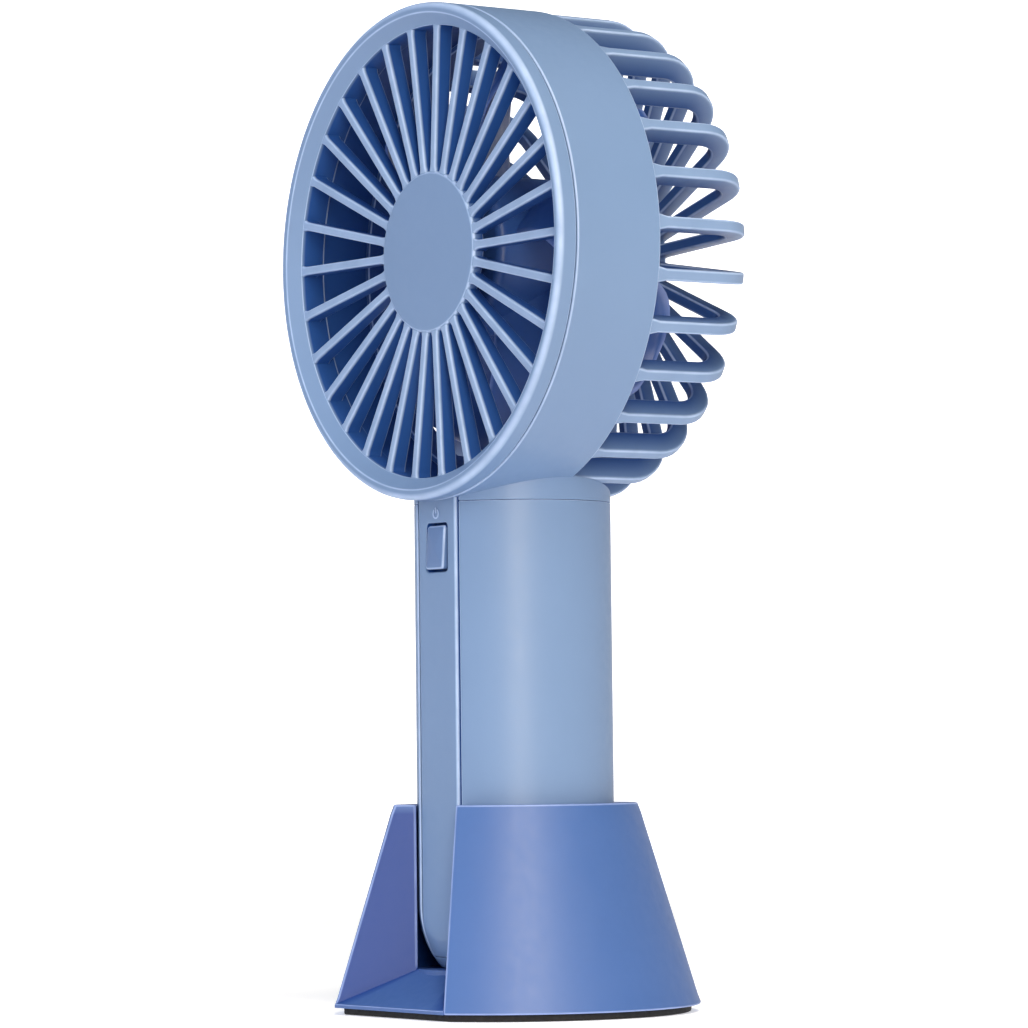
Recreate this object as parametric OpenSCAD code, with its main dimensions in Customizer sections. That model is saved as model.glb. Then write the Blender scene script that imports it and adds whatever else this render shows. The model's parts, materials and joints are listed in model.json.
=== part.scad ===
// Handheld electric fan: a round barred head on a cylindrical handle that stands in a cone shaped dock.
// Frame: origin at the middle of the dock's underside, +Z up, the fan blows towards -Y.

/* [Head] */
// Outer radius of the drum
head_r = 52.5; // [51:0.5:54]
// Height of the fan's spin axis above the table
head_z = 160.7; // [158:0.1:164]
// Radial thickness of the drum wall
drum_wall = 4.1; // [3.6:0.1:4.4]
// Front end of the drum, where the front cover meets it
drum_front_y = -20.0; // [-21:0.5:-19]
// Rear end of the smooth band of the drum
drum_rear_y = 1.1; // [0:0.1:3]

/* [Front cover] */
// Radius of the opening inside the front ring
opening_r = 47.8; // [46.5:0.1:48]
// Foremost point of the front ring's rounded lip
lip_y = -24.7; // [-25.5:0.1:-24]
// Number of front bars
front_bars = 30; // [24:2:36]
// Width of a front bar
front_bar_w = 1.8; // [1.2:0.1:2.2]
// Radius of the middle disc
disc_r = 17.1; // [15:0.1:19]

/* [Rear cage] */
// Number of rear bars
rear_bars = 30; // [24:2:36]
// Turn of the first rear bar above the horizontal, in degrees
rear_phase = 3; // [0:1:6]
// Thickness of a rear bar
rear_bar_w = 2.5; // [1.6:0.1:2.8]
// Radial depth of a rear bar along the drum's direction
rear_bar_depth = 5.3; // [4.5:0.1:6]
// Rear face of the cage
cage_back_y = 28.6; // [27:0.1:30]
// Outer radius of the cage's rounded corner
cage_corner_r = 11; // [9:0.5:13]
// Radius of the rear hub disc
rear_hub_r = 17; // [16:0.5:20]

/* [Rotor] */
// Number of blades
blade_count = 5; // [3:1:7]
// Radius of the blade tips
blade_tip_r = 45; // [42:0.5:45.5]
// Radius of the rotor hub
rotor_hub_r = 17; // [16.6:0.1:17.5]
// Thickness of a blade
blade_t = 1.4; // [1:0.1:1.8]
// Turn of the first blade, in degrees
blade_phase = -36; // [-36:1:36]

/* [Motor] */
// Outer radius of the motor can
can_r = 11; // [10.5:0.1:11]
// Radius of the motor shaft
shaft_r = 1; // [0.8:0.1:1.2]
// Running clearance between the shaft and its bushes
shaft_gap = 0.03; // [0.01:0.01:0.08]

/* [Handle] */
// Outer radius of the handle
handle_r = 20.9; // [20.5:0.1:21]
// Distance of the flat front strip from the handle's axis
flat_y = 19.6; // [19.4:0.1:19.8]
// Wall thickness of the handle
handle_wall = 2.2; // [1.8:0.1:2.4]
// Height of the seam between the handle and the head
seam_z = 107.8; // [107:0.1:108]
// Underside of the handle when it stands in the dock
handle_bottom_z = 9.9; // [9.9:0.1:10.5]
// Height of the middle of the button
button_z = 98.3; // [97.5:0.1:98.5]
// Height of the middle of the charging inlet
port_z = 92.0; // [91:0.5:93]

/* [Battery] */
// Radius of the battery cell
cell_r = 9.1; // [8.8:0.1:9.2]
// Length of the battery cell
cell_len = 65; // [60:1:66]
// Distance of the cell behind the handle's axis
cell_y = 4.5; // [3.5:0.1:5]

/* [Dock] */
// Radius of the dock's top rim
dock_top_r = 26; // [25.5:0.1:27]
// Radius of the dock's lower edge
dock_bottom_r = 38.8; // [37:0.1:40]
// Height of the dock
dock_h = 44.2; // [42:0.1:46]
// Radius of the socket for the handle
socket_r = 21.4; // [21.3:0.1:21.6]
// Height of the socket's floor
socket_floor_z = 9.6; // [9:0.1:9.6]
// Half width of the front slot at the socket
slot_half_w = 8.2; // [7.5:0.1:8.8]
// Thickness of the rubber pad
pad_t = 1.5; // [1.2:0.1:2]

/* [Hidden] */
$fn = 96;

// Colours of the mouldings and the metals
head_blue = [0.53, 0.63, 0.79];
dock_blue = [0.36, 0.48, 0.72];
steel = [0.75, 0.76, 0.78];
copper = [0.72, 0.42, 0.22];
dark_rubber = [0.06, 0.06, 0.07];

// A hair of extra length that lets a cut run past a face
past = 1;
drum_in_r = head_r - drum_wall;
// The cover's skirt slides into a rebate at the mouth of the drum
rebate_r = 50.4;
skirt_out_r = 50.1;
skirt_back_y = -16.3;
cover_gap = 0.3;
rebate_back_y = -16.0;
// The bars of the cage stand slightly inside the drum's outline, on a ring that plugs into the drum
cage_r = head_r - 0.3;
guard_ring_y = -5;
guard_ring_out_r = drum_in_r - 0.1;
cage_in_r = cage_r - rear_bar_depth;
back_bar_t = 3.7;
cage_in_y = cage_back_y - back_bar_t;
cage_inner_corner_r = 6;
// The motor sits in a cup that reaches forward from the rear hub
cup_in_r = can_r + 0.25;
cup_out_r = cup_in_r + 1.9;
cup_front_y = -7;
cup_floor_t = 2;
can_front_y = cup_front_y + cup_floor_t;
can_len = 16;
end_cap_y = can_front_y + can_len - 1;
rear_bush_r = 2.5;
rear_bush_end = 2.6;
boss_r = 3;
screw_ring_r = 6.5;
// The rotor's hub is a cup that covers the motor
rotor_front_y = -14.2;
rotor_hub_back_y = 11;
rotor_wall = 1.7;
blade_root_r = rotor_hub_r - rotor_wall / 2;
// The strip, the web behind it and the clear gap at its sides
strip_t = 2.2;
strip_half_w = 6.95;
strip_gap = 0.2;
web_t = 1.8;
web_y = -(flat_y - strip_t);
cavity_front_y = web_y + web_t;
dome_z = 23.1;
handle_top_z = seam_z - 0.2;
// Button and its opening
button_w = 7;
button_h = 9.5;
button_gap = 0.4;
body_gap = 0.3;
// Screws that hold the shell: their heights, threads, heads and the bosses that take them
shell_screw_z = [105.9, 26];
shell_screw_r = 0.75;
shell_screw_head_r = 1.5;
shell_screw_head_t = 0.9;
screw_boss_w = 6.4;
// Height of the light beside the charging inlet
light_z = 100.5;
light_r = 1;
// Screws of the dock's plate
dock_screw_r = 0.9;
dock_screw_head_r = 2.1;
// The board stands on edge across the handle
board_t = 1.2;
board_x = -2.8;
board_z0 = 84.4;
board_z1 = 103;
cell_z0 = 15.6;
cell_z1 = cell_z0 + cell_len;
cradle_in_r = cell_r + 0.25;
cradle_out_r = cradle_in_r + 1.5;
// Dock shell
dock_wall = 2.3;
dock_z0 = pad_t;
slot_y = -sqrt(pow(socket_r, 2) - pow(slot_half_w, 2));
splay_slope = 12 / 13.3;
apron_front_y = -33.1;
front_top_y = -23.5;
plate_t = 1.8;
plate_front_y = -25.8;
dock_posts = [[-27, -8], [27, -8], [0, 30.5]];

function unit(v) = v / norm(v);

// Points of a rounded rectangle about the origin
function arc_points(cx, cy, r, a0, a1, n) =
    [for (i = [0 : n]) let (a = a0 + (a1 - a0) * i / n) [cx + r * cos(a), cy + r * sin(a)]];
function round_rect(w, h, r, n = 5) = concat(
    arc_points(w / 2 - r, h / 2 - r, r, 0, 90, n),
    arc_points(-w / 2 + r, h / 2 - r, r, 90, 180, n),
    arc_points(-w / 2 + r, -h / 2 + r, r, 180, 270, n),
    arc_points(w / 2 - r, -h / 2 + r, r, 270, 360, n));

// Turns a solid of revolution from the Z axis onto the fan's spin axis
module on_axis() {
    translate([0, 0, head_z])
        rotate([-90, 0, 0])
            children();
}

// A tube along the spin axis
module axis_tube(r_out, r_in, y0, y1) {
    on_axis()
        translate([0, 0, y0])
            difference() {
                cylinder(r = r_out, h = y1 - y0);
                translate([0, 0, -past])
                    cylinder(r = r_in, h = y1 - y0 + 2 * past);
            }
}

module axis_rod(r, y0, y1) {
    on_axis()
        translate([0, 0, y0])
            cylinder(r = r, h = y1 - y0);
}

// Flat blocks that stand out from the spin axis like spokes
module spokes(count, phase, w, r0, r1, y0, y1) {
    for (i = [0 : count - 1])
        rotate([0, 0, -phase - i * 360 / count])
            translate([r0, -w / 2, y0])
                cube([r1 - r0, w, y1 - y0]);
}

// ---- Head ----

module front_ring_section() {
    lip_r = head_r - 0.7;
    flange_y = drum_front_y - cover_gap;
    polygon(concat(
        [[skirt_out_r, skirt_back_y], [skirt_out_r, flange_y], [head_r, flange_y]],
        arc_points(lip_r - 0.5, lip_y + 1.2, 1.2, 0, -110, 6),
        [[opening_r, -22], [opening_r, skirt_back_y]]));
}

module front_bar_section() {
    polygon([[disc_r - 1.2, -21], [opening_r + 1, -22], [opening_r + 1, -18], [disc_r - 1.2, -17.8]]);
}

module front_grille() {
    color(head_blue)
        on_axis()
            union() {
                rotate_extrude()
                    front_ring_section();
                intersection() {
                    rotate_extrude()
                        front_bar_section();
                    spokes(front_bars, 0, front_bar_w, disc_r - 1, opening_r + 0.8, -24, -16);
                }
                translate([0, 0, -21.2])
                    cylinder(r = disc_r, h = 2.8);
            }
}

module drum_section() {
    polygon([[rebate_r, drum_front_y], [head_r, drum_front_y], [head_r, drum_rear_y],
             [drum_in_r, drum_rear_y], [drum_in_r, rebate_back_y], [rebate_r, rebate_back_y]]);
}

// The section that every rear bar is cut from: back from the drum, round the corner and in to the hub
module cage_section() {
    hub_y = cage_back_y + 0.6;
    polygon(concat(
        [[cage_in_r, drum_rear_y], [cage_r, drum_rear_y]],
        arc_points(cage_r - cage_corner_r, cage_back_y - cage_corner_r, cage_corner_r, 0, 90, 8),
        [[rear_hub_r - 1, hub_y], [rear_hub_r - 1, hub_y - back_bar_t]],
        arc_points(cage_in_r - cage_inner_corner_r, cage_in_y - cage_inner_corner_r,
                   cage_inner_corner_r, 90, 0, 6)));
}

// The flat fronted round outline that the handle and the neck share
module handle_outline() {
    intersection() {
        circle(r = handle_r);
        translate([-handle_r, -flat_y])
            square([2 * handle_r, 2 * handle_r + past]);
    }
}

// Neck plate under the drum, hollowed to the drum's curve and clear of the rear bars
module neck() {
    neck_top = 8;
    difference() {
        translate([0, 0, seam_z])
            linear_extrude(neck_top)
                handle_outline();
        axis_rod(head_r - 2, -30, drum_rear_y);
        axis_rod(cage_r + 0.1, drum_rear_y - 0.1, 30);
    }
}

// Cup that hangs from the neck into the top of the handle, with a boss for the upper screw
module neck_plug() {
    plug_z = 103.9;
    plug_r = handle_r - handle_wall - 0.2;
    plug_wall = 1.8;
    roof_t = 1.2;
    difference() {
        translate([0, 0, plug_z])
            cylinder(r = plug_r, h = seam_z - plug_z + 0.1);
        translate([0, 0, plug_z - past])
            cylinder(r = plug_r - plug_wall, h = seam_z - plug_z + past - roof_t);
        translate([-handle_r, -handle_r - past, plug_z - past])
            cube([2 * handle_r, handle_r + past + cavity_front_y + 0.2, seam_z - plug_z + past]);
    }
    translate([-screw_boss_w / 2, cavity_front_y + 0.2, plug_z + 0.1])
        cube([screw_boss_w, 6.5, seam_z - plug_z]);
}

module drum_housing() {
    wire_hole = [2.2, 15];
    wire_hole_r = 1.7;
    color(head_blue)
        difference() {
            union() {
                on_axis()
                    rotate_extrude()
                        drum_section();
                neck();
                neck_plug();
            }
            // Wire hole through the neck
            translate([wire_hole[0], wire_hole[1], seam_z - 2.5])
                cylinder(r = wire_hole_r, h = 7, $fn = 48);
            // Hole for the upper shell screw
            translate([0, cavity_front_y - past, shell_screw_z[0]])
                rotate([-90, 0, 0])
                    cylinder(r = shell_screw_r, h = 7.5, $fn = 32);
        }
}

module rear_guard() {
    color(head_blue)
        difference() {
            union() {
                axis_tube(guard_ring_out_r, cage_in_r, guard_ring_y, drum_rear_y + 0.6);
                on_axis()
                    intersection() {
                        rotate_extrude()
                            cage_section();
                        spokes(rear_bars, rear_phase, rear_bar_w, rear_hub_r - 0.6, head_r,
                               drum_rear_y - past, cage_back_y + 3);
                    }
                axis_rod(rear_hub_r, cage_in_y + 0.2, cage_back_y + 0.8);
                axis_rod(cup_out_r, cup_front_y, cage_in_y + 1);
            }
            // Motor seat, open at the back under the cap
            axis_rod(cup_in_r, can_front_y, cage_back_y + 3);
            axis_rod(boss_r + 0.3, cup_front_y - past, can_front_y + past);
            on_axis()
                for (a = [0, 180])
                    rotate([0, 0, a])
                        translate([screw_ring_r, 0, cup_front_y - past])
                            cylinder(r = 0.9, h = cup_floor_t + 2 * past, $fn = 32);
            // Notch for the motor's wires
            translate([-1.9, 20.4, head_z - cup_out_r - past])
                cube([3.8, 2.6, 5]);
        }
}

module rear_hub_cap() {
    cap_r = cup_in_r - 0.1;
    front_y = cage_back_y - 2.2;
    rim_y = cage_back_y + 0.3;
    bevel = 0.6;
    color(head_blue)
        on_axis()
            rotate_extrude()
                polygon([[0, front_y], [cap_r, front_y], [cap_r, rim_y],
                         [cap_r - bevel, rim_y + bevel], [0, rim_y + 1]]);
}

// ---- Rotor ----

// Half of the blade's angular chord, in degrees, and half of its depth along the spin axis
function blade_chord(u) = 27 * (1 + 0.25 * u) * (1 - 0.55 * pow(u, 7));
function blade_depth(u) = (10 + 7.5 * u) * (1 - 0.6 * pow(u, 6));
function blade_sweep(u) = 22 * u * u;

// Point of the blade's mid surface: u runs from root to tip, v from the rear edge to the front edge
function blade_mid(u, v) = let (
    r = blade_root_r + (blade_tip_r - blade_root_r) * u,
    a = blade_sweep(u) + blade_chord(u) * v,
    y = 0.5 + 1.5 * u - blade_depth(u) * v - 2 * (1 - v * v))
    [r * cos(a), r * sin(a), y];
function blade_normal(u, v) = let (e = 0.01)
    unit(cross(blade_mid(u + e, v) - blade_mid(u - e, v), blade_mid(u, v + e) - blade_mid(u, v - e)));

module blade() {
    nu = 9;
    nv = 10;
    side = (nu + 1) * (nv + 1);
    points = [for (s = [1, -1], i = [0 : nu], j = [0 : nv])
        let (u = i / nu, v = -1 + 2 * j / nv)
        blade_mid(u, v) + s * blade_t / 2 * blade_normal(min(u, 0.97), v)];
    function at(s, i, j) = s * side + i * (nv + 1) + j;
    function quad(a, b, c, d) = [[a, b, c], [a, c, d]];
    faces = concat(
        [for (i = [0 : nu - 1], j = [0 : nv - 1])
            each quad(at(0, i, j), at(0, i, j + 1), at(0, i + 1, j + 1), at(0, i + 1, j))],
        [for (i = [0 : nu - 1], j = [0 : nv - 1])
            each quad(at(1, i, j), at(1, i + 1, j), at(1, i + 1, j + 1), at(1, i, j + 1))],
        [for (i = [0 : nu - 1])
            each quad(at(0, i, 0), at(0, i + 1, 0), at(1, i + 1, 0), at(1, i, 0))],
        [for (i = [0 : nu - 1])
            each quad(at(0, i + 1, nv), at(0, i, nv), at(1, i, nv), at(1, i + 1, nv))],
        [for (j = [0 : nv - 1])
            each quad(at(0, 0, j + 1), at(0, 0, j), at(1, 0, j), at(1, 0, j + 1))],
        [for (j = [0 : nv - 1])
            each quad(at(0, nu, j), at(0, nu, j + 1), at(1, nu, j + 1), at(1, nu, j))]);
    polyhedron(points, faces);
}

module rotor_hub_section() {
    boss_back_y = -8.3;
    in_r = rotor_hub_r - rotor_wall;
    polygon(concat(
        [[shaft_r, boss_back_y], [shaft_r, rotor_front_y + 1], [0, rotor_front_y + 1], [0, rotor_front_y]],
        arc_points(rotor_hub_r - 2, rotor_front_y + 2, 2, -90, 0, 5),
        [[rotor_hub_r, rotor_hub_back_y], [in_r, rotor_hub_back_y],
         [in_r, rotor_front_y + 1.8], [2.6, rotor_front_y + 1.8], [2.6, boss_back_y]]));
}

module fan_blades() {
    color([0.3, 0.4, 0.66])
        on_axis()
            union() {
                rotate_extrude()
                    rotor_hub_section();
                for (i = [0 : blade_count - 1])
                    rotate([0, 0, -blade_phase - i * 360 / blade_count])
                        blade();
            }
}

module motor_shaft() {
    color(steel)
        axis_rod(shaft_r, rotor_front_y + 1.1, can_front_y + can_len + 2.4);
}

module motor_armature() {
    pole_r = 8;
    core_r = 3;
    tooth_w = 1.8;
    shoe_t = 1.3;
    stack_len = 7.5;
    color([0.4, 0.4, 0.42])
        on_axis()
            translate([0, 0, can_front_y + 4])
                difference() {
                    linear_extrude(stack_len)
                        union() {
                            circle(r = core_r);
                            for (a = [90, 210, 330])
                                rotate(a) {
                                    translate([0, -tooth_w / 2])
                                        square([pole_r - 0.8, tooth_w]);
                                    intersection() {
                                        difference() {
                                            circle(r = pole_r);
                                            circle(r = pole_r - shoe_t);
                                        }
                                        polygon([[0, 0], [12, -15], [12, 15]]);
                                    }
                                }
                        }
                    translate([0, 0, -past])
                        cylinder(r = shaft_r, h = 10);
                }
}

module motor_windings() {
    coil = [3.1, 4, 9.5];
    window = [6, 1.9, 7.6];
    color(copper)
        on_axis()
            for (a = [90, 210, 330])
                rotate([0, 0, a])
                    difference() {
                        translate([3.15, -coil[1] / 2, can_front_y + 3])
                            cube(coil);
                        translate([2, -window[1] / 2, can_front_y + 3 + (coil[2] - window[2]) / 2])
                            cube(window);
                    }
}

module motor_commutator() {
    commutator_r = 2.2;
    front_y = can_front_y + 12.9;
    color(copper)
        axis_tube(commutator_r, shaft_r, front_y, front_y + 2);
}

module motor_can() {
    wall = 0.8;
    color(steel)
        on_axis()
            rotate_extrude()
                polygon([[boss_r, can_front_y], [can_r, can_front_y], [can_r, can_front_y + can_len - 1],
                         [can_r - wall, can_front_y + can_len - 1], [can_r - wall, can_front_y + wall],
                         [boss_r, can_front_y + wall]]);
}

module motor_magnets() {
    inner_r = 8.6;
    outer_r = can_r - 0.85;
    magnet_len = 10.5;
    gap_half_w = 3.4;
    color([0.2, 0.2, 0.21])
        on_axis()
            translate([0, 0, can_front_y + 2.4])
                intersection() {
                    difference() {
                        cylinder(r = outer_r, h = magnet_len);
                        translate([0, 0, -past])
                            cylinder(r = inner_r, h = magnet_len + 2 * past);
                    }
                    for (m = [0, 1])
                        mirror([m, 0, 0])
                            translate([gap_half_w, -can_r, -past])
                                cube([can_r, 2 * can_r, magnet_len + 2 * past]);
                }
}

module motor_end_cap() {
    color([0.85, 0.85, 0.82])
        difference() {
            union() {
                axis_rod(can_r, end_cap_y, end_cap_y + 1.6);
                axis_rod(3.6, end_cap_y + 1.5, end_cap_y + 3.2);
            }
            axis_rod(rear_bush_r, end_cap_y - past, end_cap_y + rear_bush_end);
            axis_rod(1.4, end_cap_y, end_cap_y + 4);
        }
}

module motor_brushes() {
    brush = [2.1, 2, 1.4];
    brush_x = 3.55;
    color(copper)
        for (s = [-1, 1])
            translate([s * brush_x - brush[0] / 2, end_cap_y - brush[1], head_z - brush[2] / 2])
                cube(brush);
}

module front_bearing() {
    color([0.7, 0.58, 0.35])
        axis_tube(boss_r, shaft_r + shaft_gap, cup_front_y + 0.2, can_front_y + 1);
}

module rear_bearing() {
    color([0.7, 0.58, 0.35])
        axis_tube(rear_bush_r, shaft_r + shaft_gap, end_cap_y + 0.2, end_cap_y + rear_bush_end);
}

module motor_screws() {
    screw_head_t = 0.8;
    color(steel)
        on_axis()
            for (a = [0, 180])
                rotate([0, 0, a])
                    translate([screw_ring_r, 0, 0]) {
                        translate([0, 0, cup_front_y - screw_head_t])
                            cylinder(r = 1.5, h = screw_head_t, $fn = 32);
                        translate([0, 0, cup_front_y - 0.1])
                            cylinder(r = 0.8, h = 2.05, $fn = 32);
                    }
}

// ---- Wires ----

// A smooth curve through hand chosen points, and a tube along it
function spline(p, i, t) = let (
    a = p[max(i - 1, 0)], b = p[i], c = p[i + 1], d = p[min(i + 2, len(p) - 1)])
    0.5 * (2 * b + (c - a) * t + (2 * a - 5 * b + 4 * c - d) * t * t + (3 * b - a - 3 * c + d) * t * t * t);
function smooth(p, steps = 3) = concat(
    [for (i = [0 : len(p) - 2], k = [0 : steps - 1]) spline(p, i, k / steps)], [p[len(p) - 1]]);
function tangent(p, i) = unit(p[min(i + 1, len(p) - 1)] - p[max(i - 1, 0)]);
function side_vector(p, i) = i == 0
    ? unit(cross(tangent(p, 0), [0.31, 0.52, 0.79]))
    : let (t = tangent(p, i), s = side_vector(p, i - 1)) unit(s - (s * t) * t);

module wire(points, r, sides = 8) {
    path = smooth(points);
    n = len(path);
    rings = [for (i = [0 : n - 1])
        let (t = tangent(path, i), s = side_vector(path, i), w = cross(t, s))
        for (k = [0 : sides - 1]) path[i] + r * (s * cos(k * 360 / sides) + w * sin(k * 360 / sides))];
    walls = [for (i = [0 : n - 2], k = [0 : sides - 1])
        let (a = i * sides + k, b = i * sides + (k + 1) % sides)
        each [[a, a + sides, b], [b, a + sides, b + sides]]];
    start = [[for (k = [0 : sides - 1]) k]];
    end = [[for (k = [sides - 1 : -1 : 0]) (n - 1) * sides + k]];
    polyhedron(rings, concat(walls, start, end));
}

lead_r = 0.5;
// From a terminal of the motor, through the cup's notch, down a rear bar, through the neck to the board
function motor_lead_route(s) = [
    [s * 0.9, 13.4, head_z - 7], [s * 0.9, 16.5, head_z - 7.4], [s * 0.7, 20, head_z - 9.2],
    [s * 0.6, 21.7, head_z - 13], [s * 0.6 - 0.9, 23.6, head_z - 19], [s * 0.6 - 1.6, 24.2, head_z - 30],
    [s * 0.6 - 2, 24.1, head_z - 39], [s * 0.6 - 1, 21.4, head_z - 44.2], [s * 0.6 + 1, 17.6, head_z - 46.8],
    [s * 0.6 + 2.2, 15.1, head_z - 50], [s * 0.6 + 2.2, 15, head_z - 55],
    [s * 0.6 + 2.6, 14, 102], [s * 0.6 + 2.2, 11.4, 98.8 + s], [s * 0.6 + 0.6, 9.4, 97.6 + s],
    [-1.1, 8.2, 97.4 + s]];

module red_motor_lead() {
    color([0.75, 0.1, 0.08])
        wire(motor_lead_route(1), lead_r);
}

module black_motor_lead() {
    color([0.06, 0.06, 0.06])
        wire(motor_lead_route(-1), lead_r);
}

module red_battery_lead() {
    color([0.75, 0.1, 0.08])
        wire([[5, 6, 81.7], [7, 5.6, 83.4], [6.4, 3.4, 86.4], [3.2, 1.2, 88.4], [0.4, 0.6, 88.6]], lead_r);
}

module black_battery_lead() {
    color([0.06, 0.06, 0.06])
        wire([[6, -1.5, 14.7], [10, -2.4, 15], [12.6, -3, 18], [13, -3, 26], [13, -3, 44], [13, -3, 62],
              [12.6, -3, 78], [10, -3, 85], [5, -3.2, 87.2], [0.4, -3.4, 87.4]], lead_r);
}

// ---- Handle ----

// Solid with the handle's round bottom and flat front, shrunk by an inset
module handle_solid(inset, top = handle_top_z) {
    dome_r = handle_r - inset;
    bottom = handle_bottom_z + inset;
    intersection() {
        translate([0, 0, dome_z])
            union() {
                sphere(r = dome_r);
                cylinder(r = dome_r, h = handle_top_z);
            }
        translate([-handle_r, -flat_y + inset, bottom])
            cube([2 * handle_r, 2 * handle_r, top - bottom]);
    }
}

module strip_channel(half_w, depth) {
    difference() {
        translate([-half_w, -handle_r - past, handle_bottom_z + strip_t])
            cube([2 * half_w, handle_r, handle_top_z]);
        handle_solid(depth, handle_top_z + past);
    }
}

module shell_cavity() {
    intersection() {
        handle_solid(handle_wall, handle_top_z + past);
        translate([-handle_r, cavity_front_y, 0])
            cube([2 * handle_r, 2 * handle_r, handle_top_z + 2 * past]);
    }
}

module handle_shell() {
    window_w = button_w + 3;
    window_h = button_h + 2.2;
    screw_clear_r = 0.95;
    wall_back_y = handle_r - handle_wall - past;
    color(head_blue)
        difference() {
            handle_solid(0);
            shell_cavity();
            strip_channel(strip_half_w + strip_gap, strip_t);
            // Window behind the button
            translate([-window_w / 2, web_y - past, button_z - window_h / 2])
                cube([window_w, web_t + 2 * past, window_h]);
            // Screw holes in the web
            for (z = shell_screw_z)
                translate([0, web_y - past, z])
                    rotate([-90, 0, 0])
                        cylinder(r = screw_clear_r, h = web_t + 2 * past, $fn = 32);
            // Charging inlet opening and the light's hole
            translate([0, wall_back_y, port_z])
                rotate([-90, 0, 0])
                    linear_extrude(handle_wall + 2 * past)
                        polygon(round_rect(3.8, 9.8, 1.8));
            translate([0, wall_back_y, light_z])
                rotate([-90, 0, 0])
                    cylinder(r = light_r + 0.1, h = handle_wall + 2 * past, $fn = 32);
        }
}

module front_strip() {
    color(head_blue)
        difference() {
            intersection() {
                handle_solid(0);
                strip_channel(strip_half_w, strip_t - 0.05);
            }
            // Button opening
            translate([0, -flat_y - past, button_z])
                rotate([-90, 0, 0])
                    linear_extrude(strip_t + 2 * past)
                        polygon(round_rect(button_w + 2 * button_gap, button_h + 2 * button_gap, 0.9));
            // Pockets for the screw heads
            for (z = shell_screw_z)
                translate([0, web_y - shell_screw_head_t - 0.2, z])
                    rotate([-90, 0, 0])
                        cylinder(r = shell_screw_head_r + 0.15, h = 2, $fn = 32);
        }
}

module speed_button() {
    crown_r = 22;
    crown_y = -flat_y - 0.5;
    flange = [button_w + 1.9, 0.8, button_h + 1.5];
    stem_len = 3.2;
    color(head_blue)
        union() {
            intersection() {
                translate([0, crown_y - past, button_z])
                    rotate([-90, 0, 0])
                        linear_extrude(4.2)
                            polygon(round_rect(button_w, button_h, 0.6));
                translate([0, crown_y + crown_r, button_z])
                    rotate([0, 90, 0])
                        cylinder(r = crown_r, h = 20, center = true, $fn = 180);
            }
            translate([-flange[0] / 2, web_y + body_gap, button_z - flange[2] / 2])
                cube(flange);
            translate([0, web_y + body_gap, button_z])
                rotate([-90, 0, 0])
                    cylinder(r = 1.4, h = stem_len, $fn = 48);
        }
}

module switch_plunger() {
    color([0.1, 0.1, 0.1])
        translate([0, web_y + body_gap + 3.2, button_z])
            rotate([-90, 0, 0])
                cylinder(r = 0.95, h = 2.4, $fn = 48);
}

module tact_switch() {
    front = web_y + body_gap + 4.6;
    color([0.14, 0.14, 0.15])
        difference() {
            translate([-1.6, front, button_z - 3])
                cube([3.2, 3.8, 6]);
            translate([0, front - past, button_z])
                rotate([-90, 0, 0])
                    cylinder(r = 1.15, h = past + 2.2, $fn = 48);
        }
}

module control_board() {
    color([0.05, 0.35, 0.18])
        translate([board_x, -12, board_z0])
            cube([board_t, 25, board_z1 - board_z0]);
}

module board_components() {
    x0 = board_x + board_t;
    color([0.1, 0.1, 0.11]) {
        translate([x0, -5.5, 90])
            cube([1.5, 4, 5]);
        translate([x0, 3, 91.4])
            cube([1, 3, 3]);
        translate([x0, -1, 97])
            cube([2.6, 4.6, 4.6]);
        for (y = [-8.6, 0.6, 7.4])
            translate([x0, y, 101])
                cube([0.8, 1.6, 0.9]);
    }
}

module charging_port() {
    front = 19.5;
    depth = 7.4;
    color(steel)
        difference() {
            translate([0, front - depth, port_z])
                rotate([-90, 0, 0])
                    linear_extrude(depth)
                        polygon(round_rect(3.2, 9, 1.5));
            translate([0, front - depth + 1.2, port_z])
                rotate([-90, 0, 0])
                    linear_extrude(depth)
                        difference() {
                            polygon(round_rect(2.6, 8.4, 1.25));
                            square([0.7, 6.6], center = true);
                        }
        }
}

module indicator_light() {
    led = [2, 4, 1.4];
    color([0.85, 0.9, 0.95]) {
        translate([0, 16.5, light_z])
            rotate([-90, 0, 0])
                cylinder(r = light_r, h = 3.9, $fn = 32);
        translate([board_x + board_t, 12.6, light_z - led[2] / 2])
            cube(led);
    }
}

module battery_cell() {
    nub_h = 0.7;
    color([0.2, 0.45, 0.35])
        translate([0, cell_y, cell_z0]) {
            cylinder(r = cell_r, h = cell_len - nub_h);
            translate([0, 0, cell_len - nub_h - 0.1])
                cylinder(r = 2.8, h = nub_h + 0.1);
        }
}

module battery_tabs() {
    color(steel) {
        translate([-3, cell_y - 4, cell_z1])
            cube([8.6, 8, 0.3]);
        translate([-3, cell_y - 7, cell_z0 - 0.3])
            cube([9.6, 12, 0.3]);
    }
}

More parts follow.
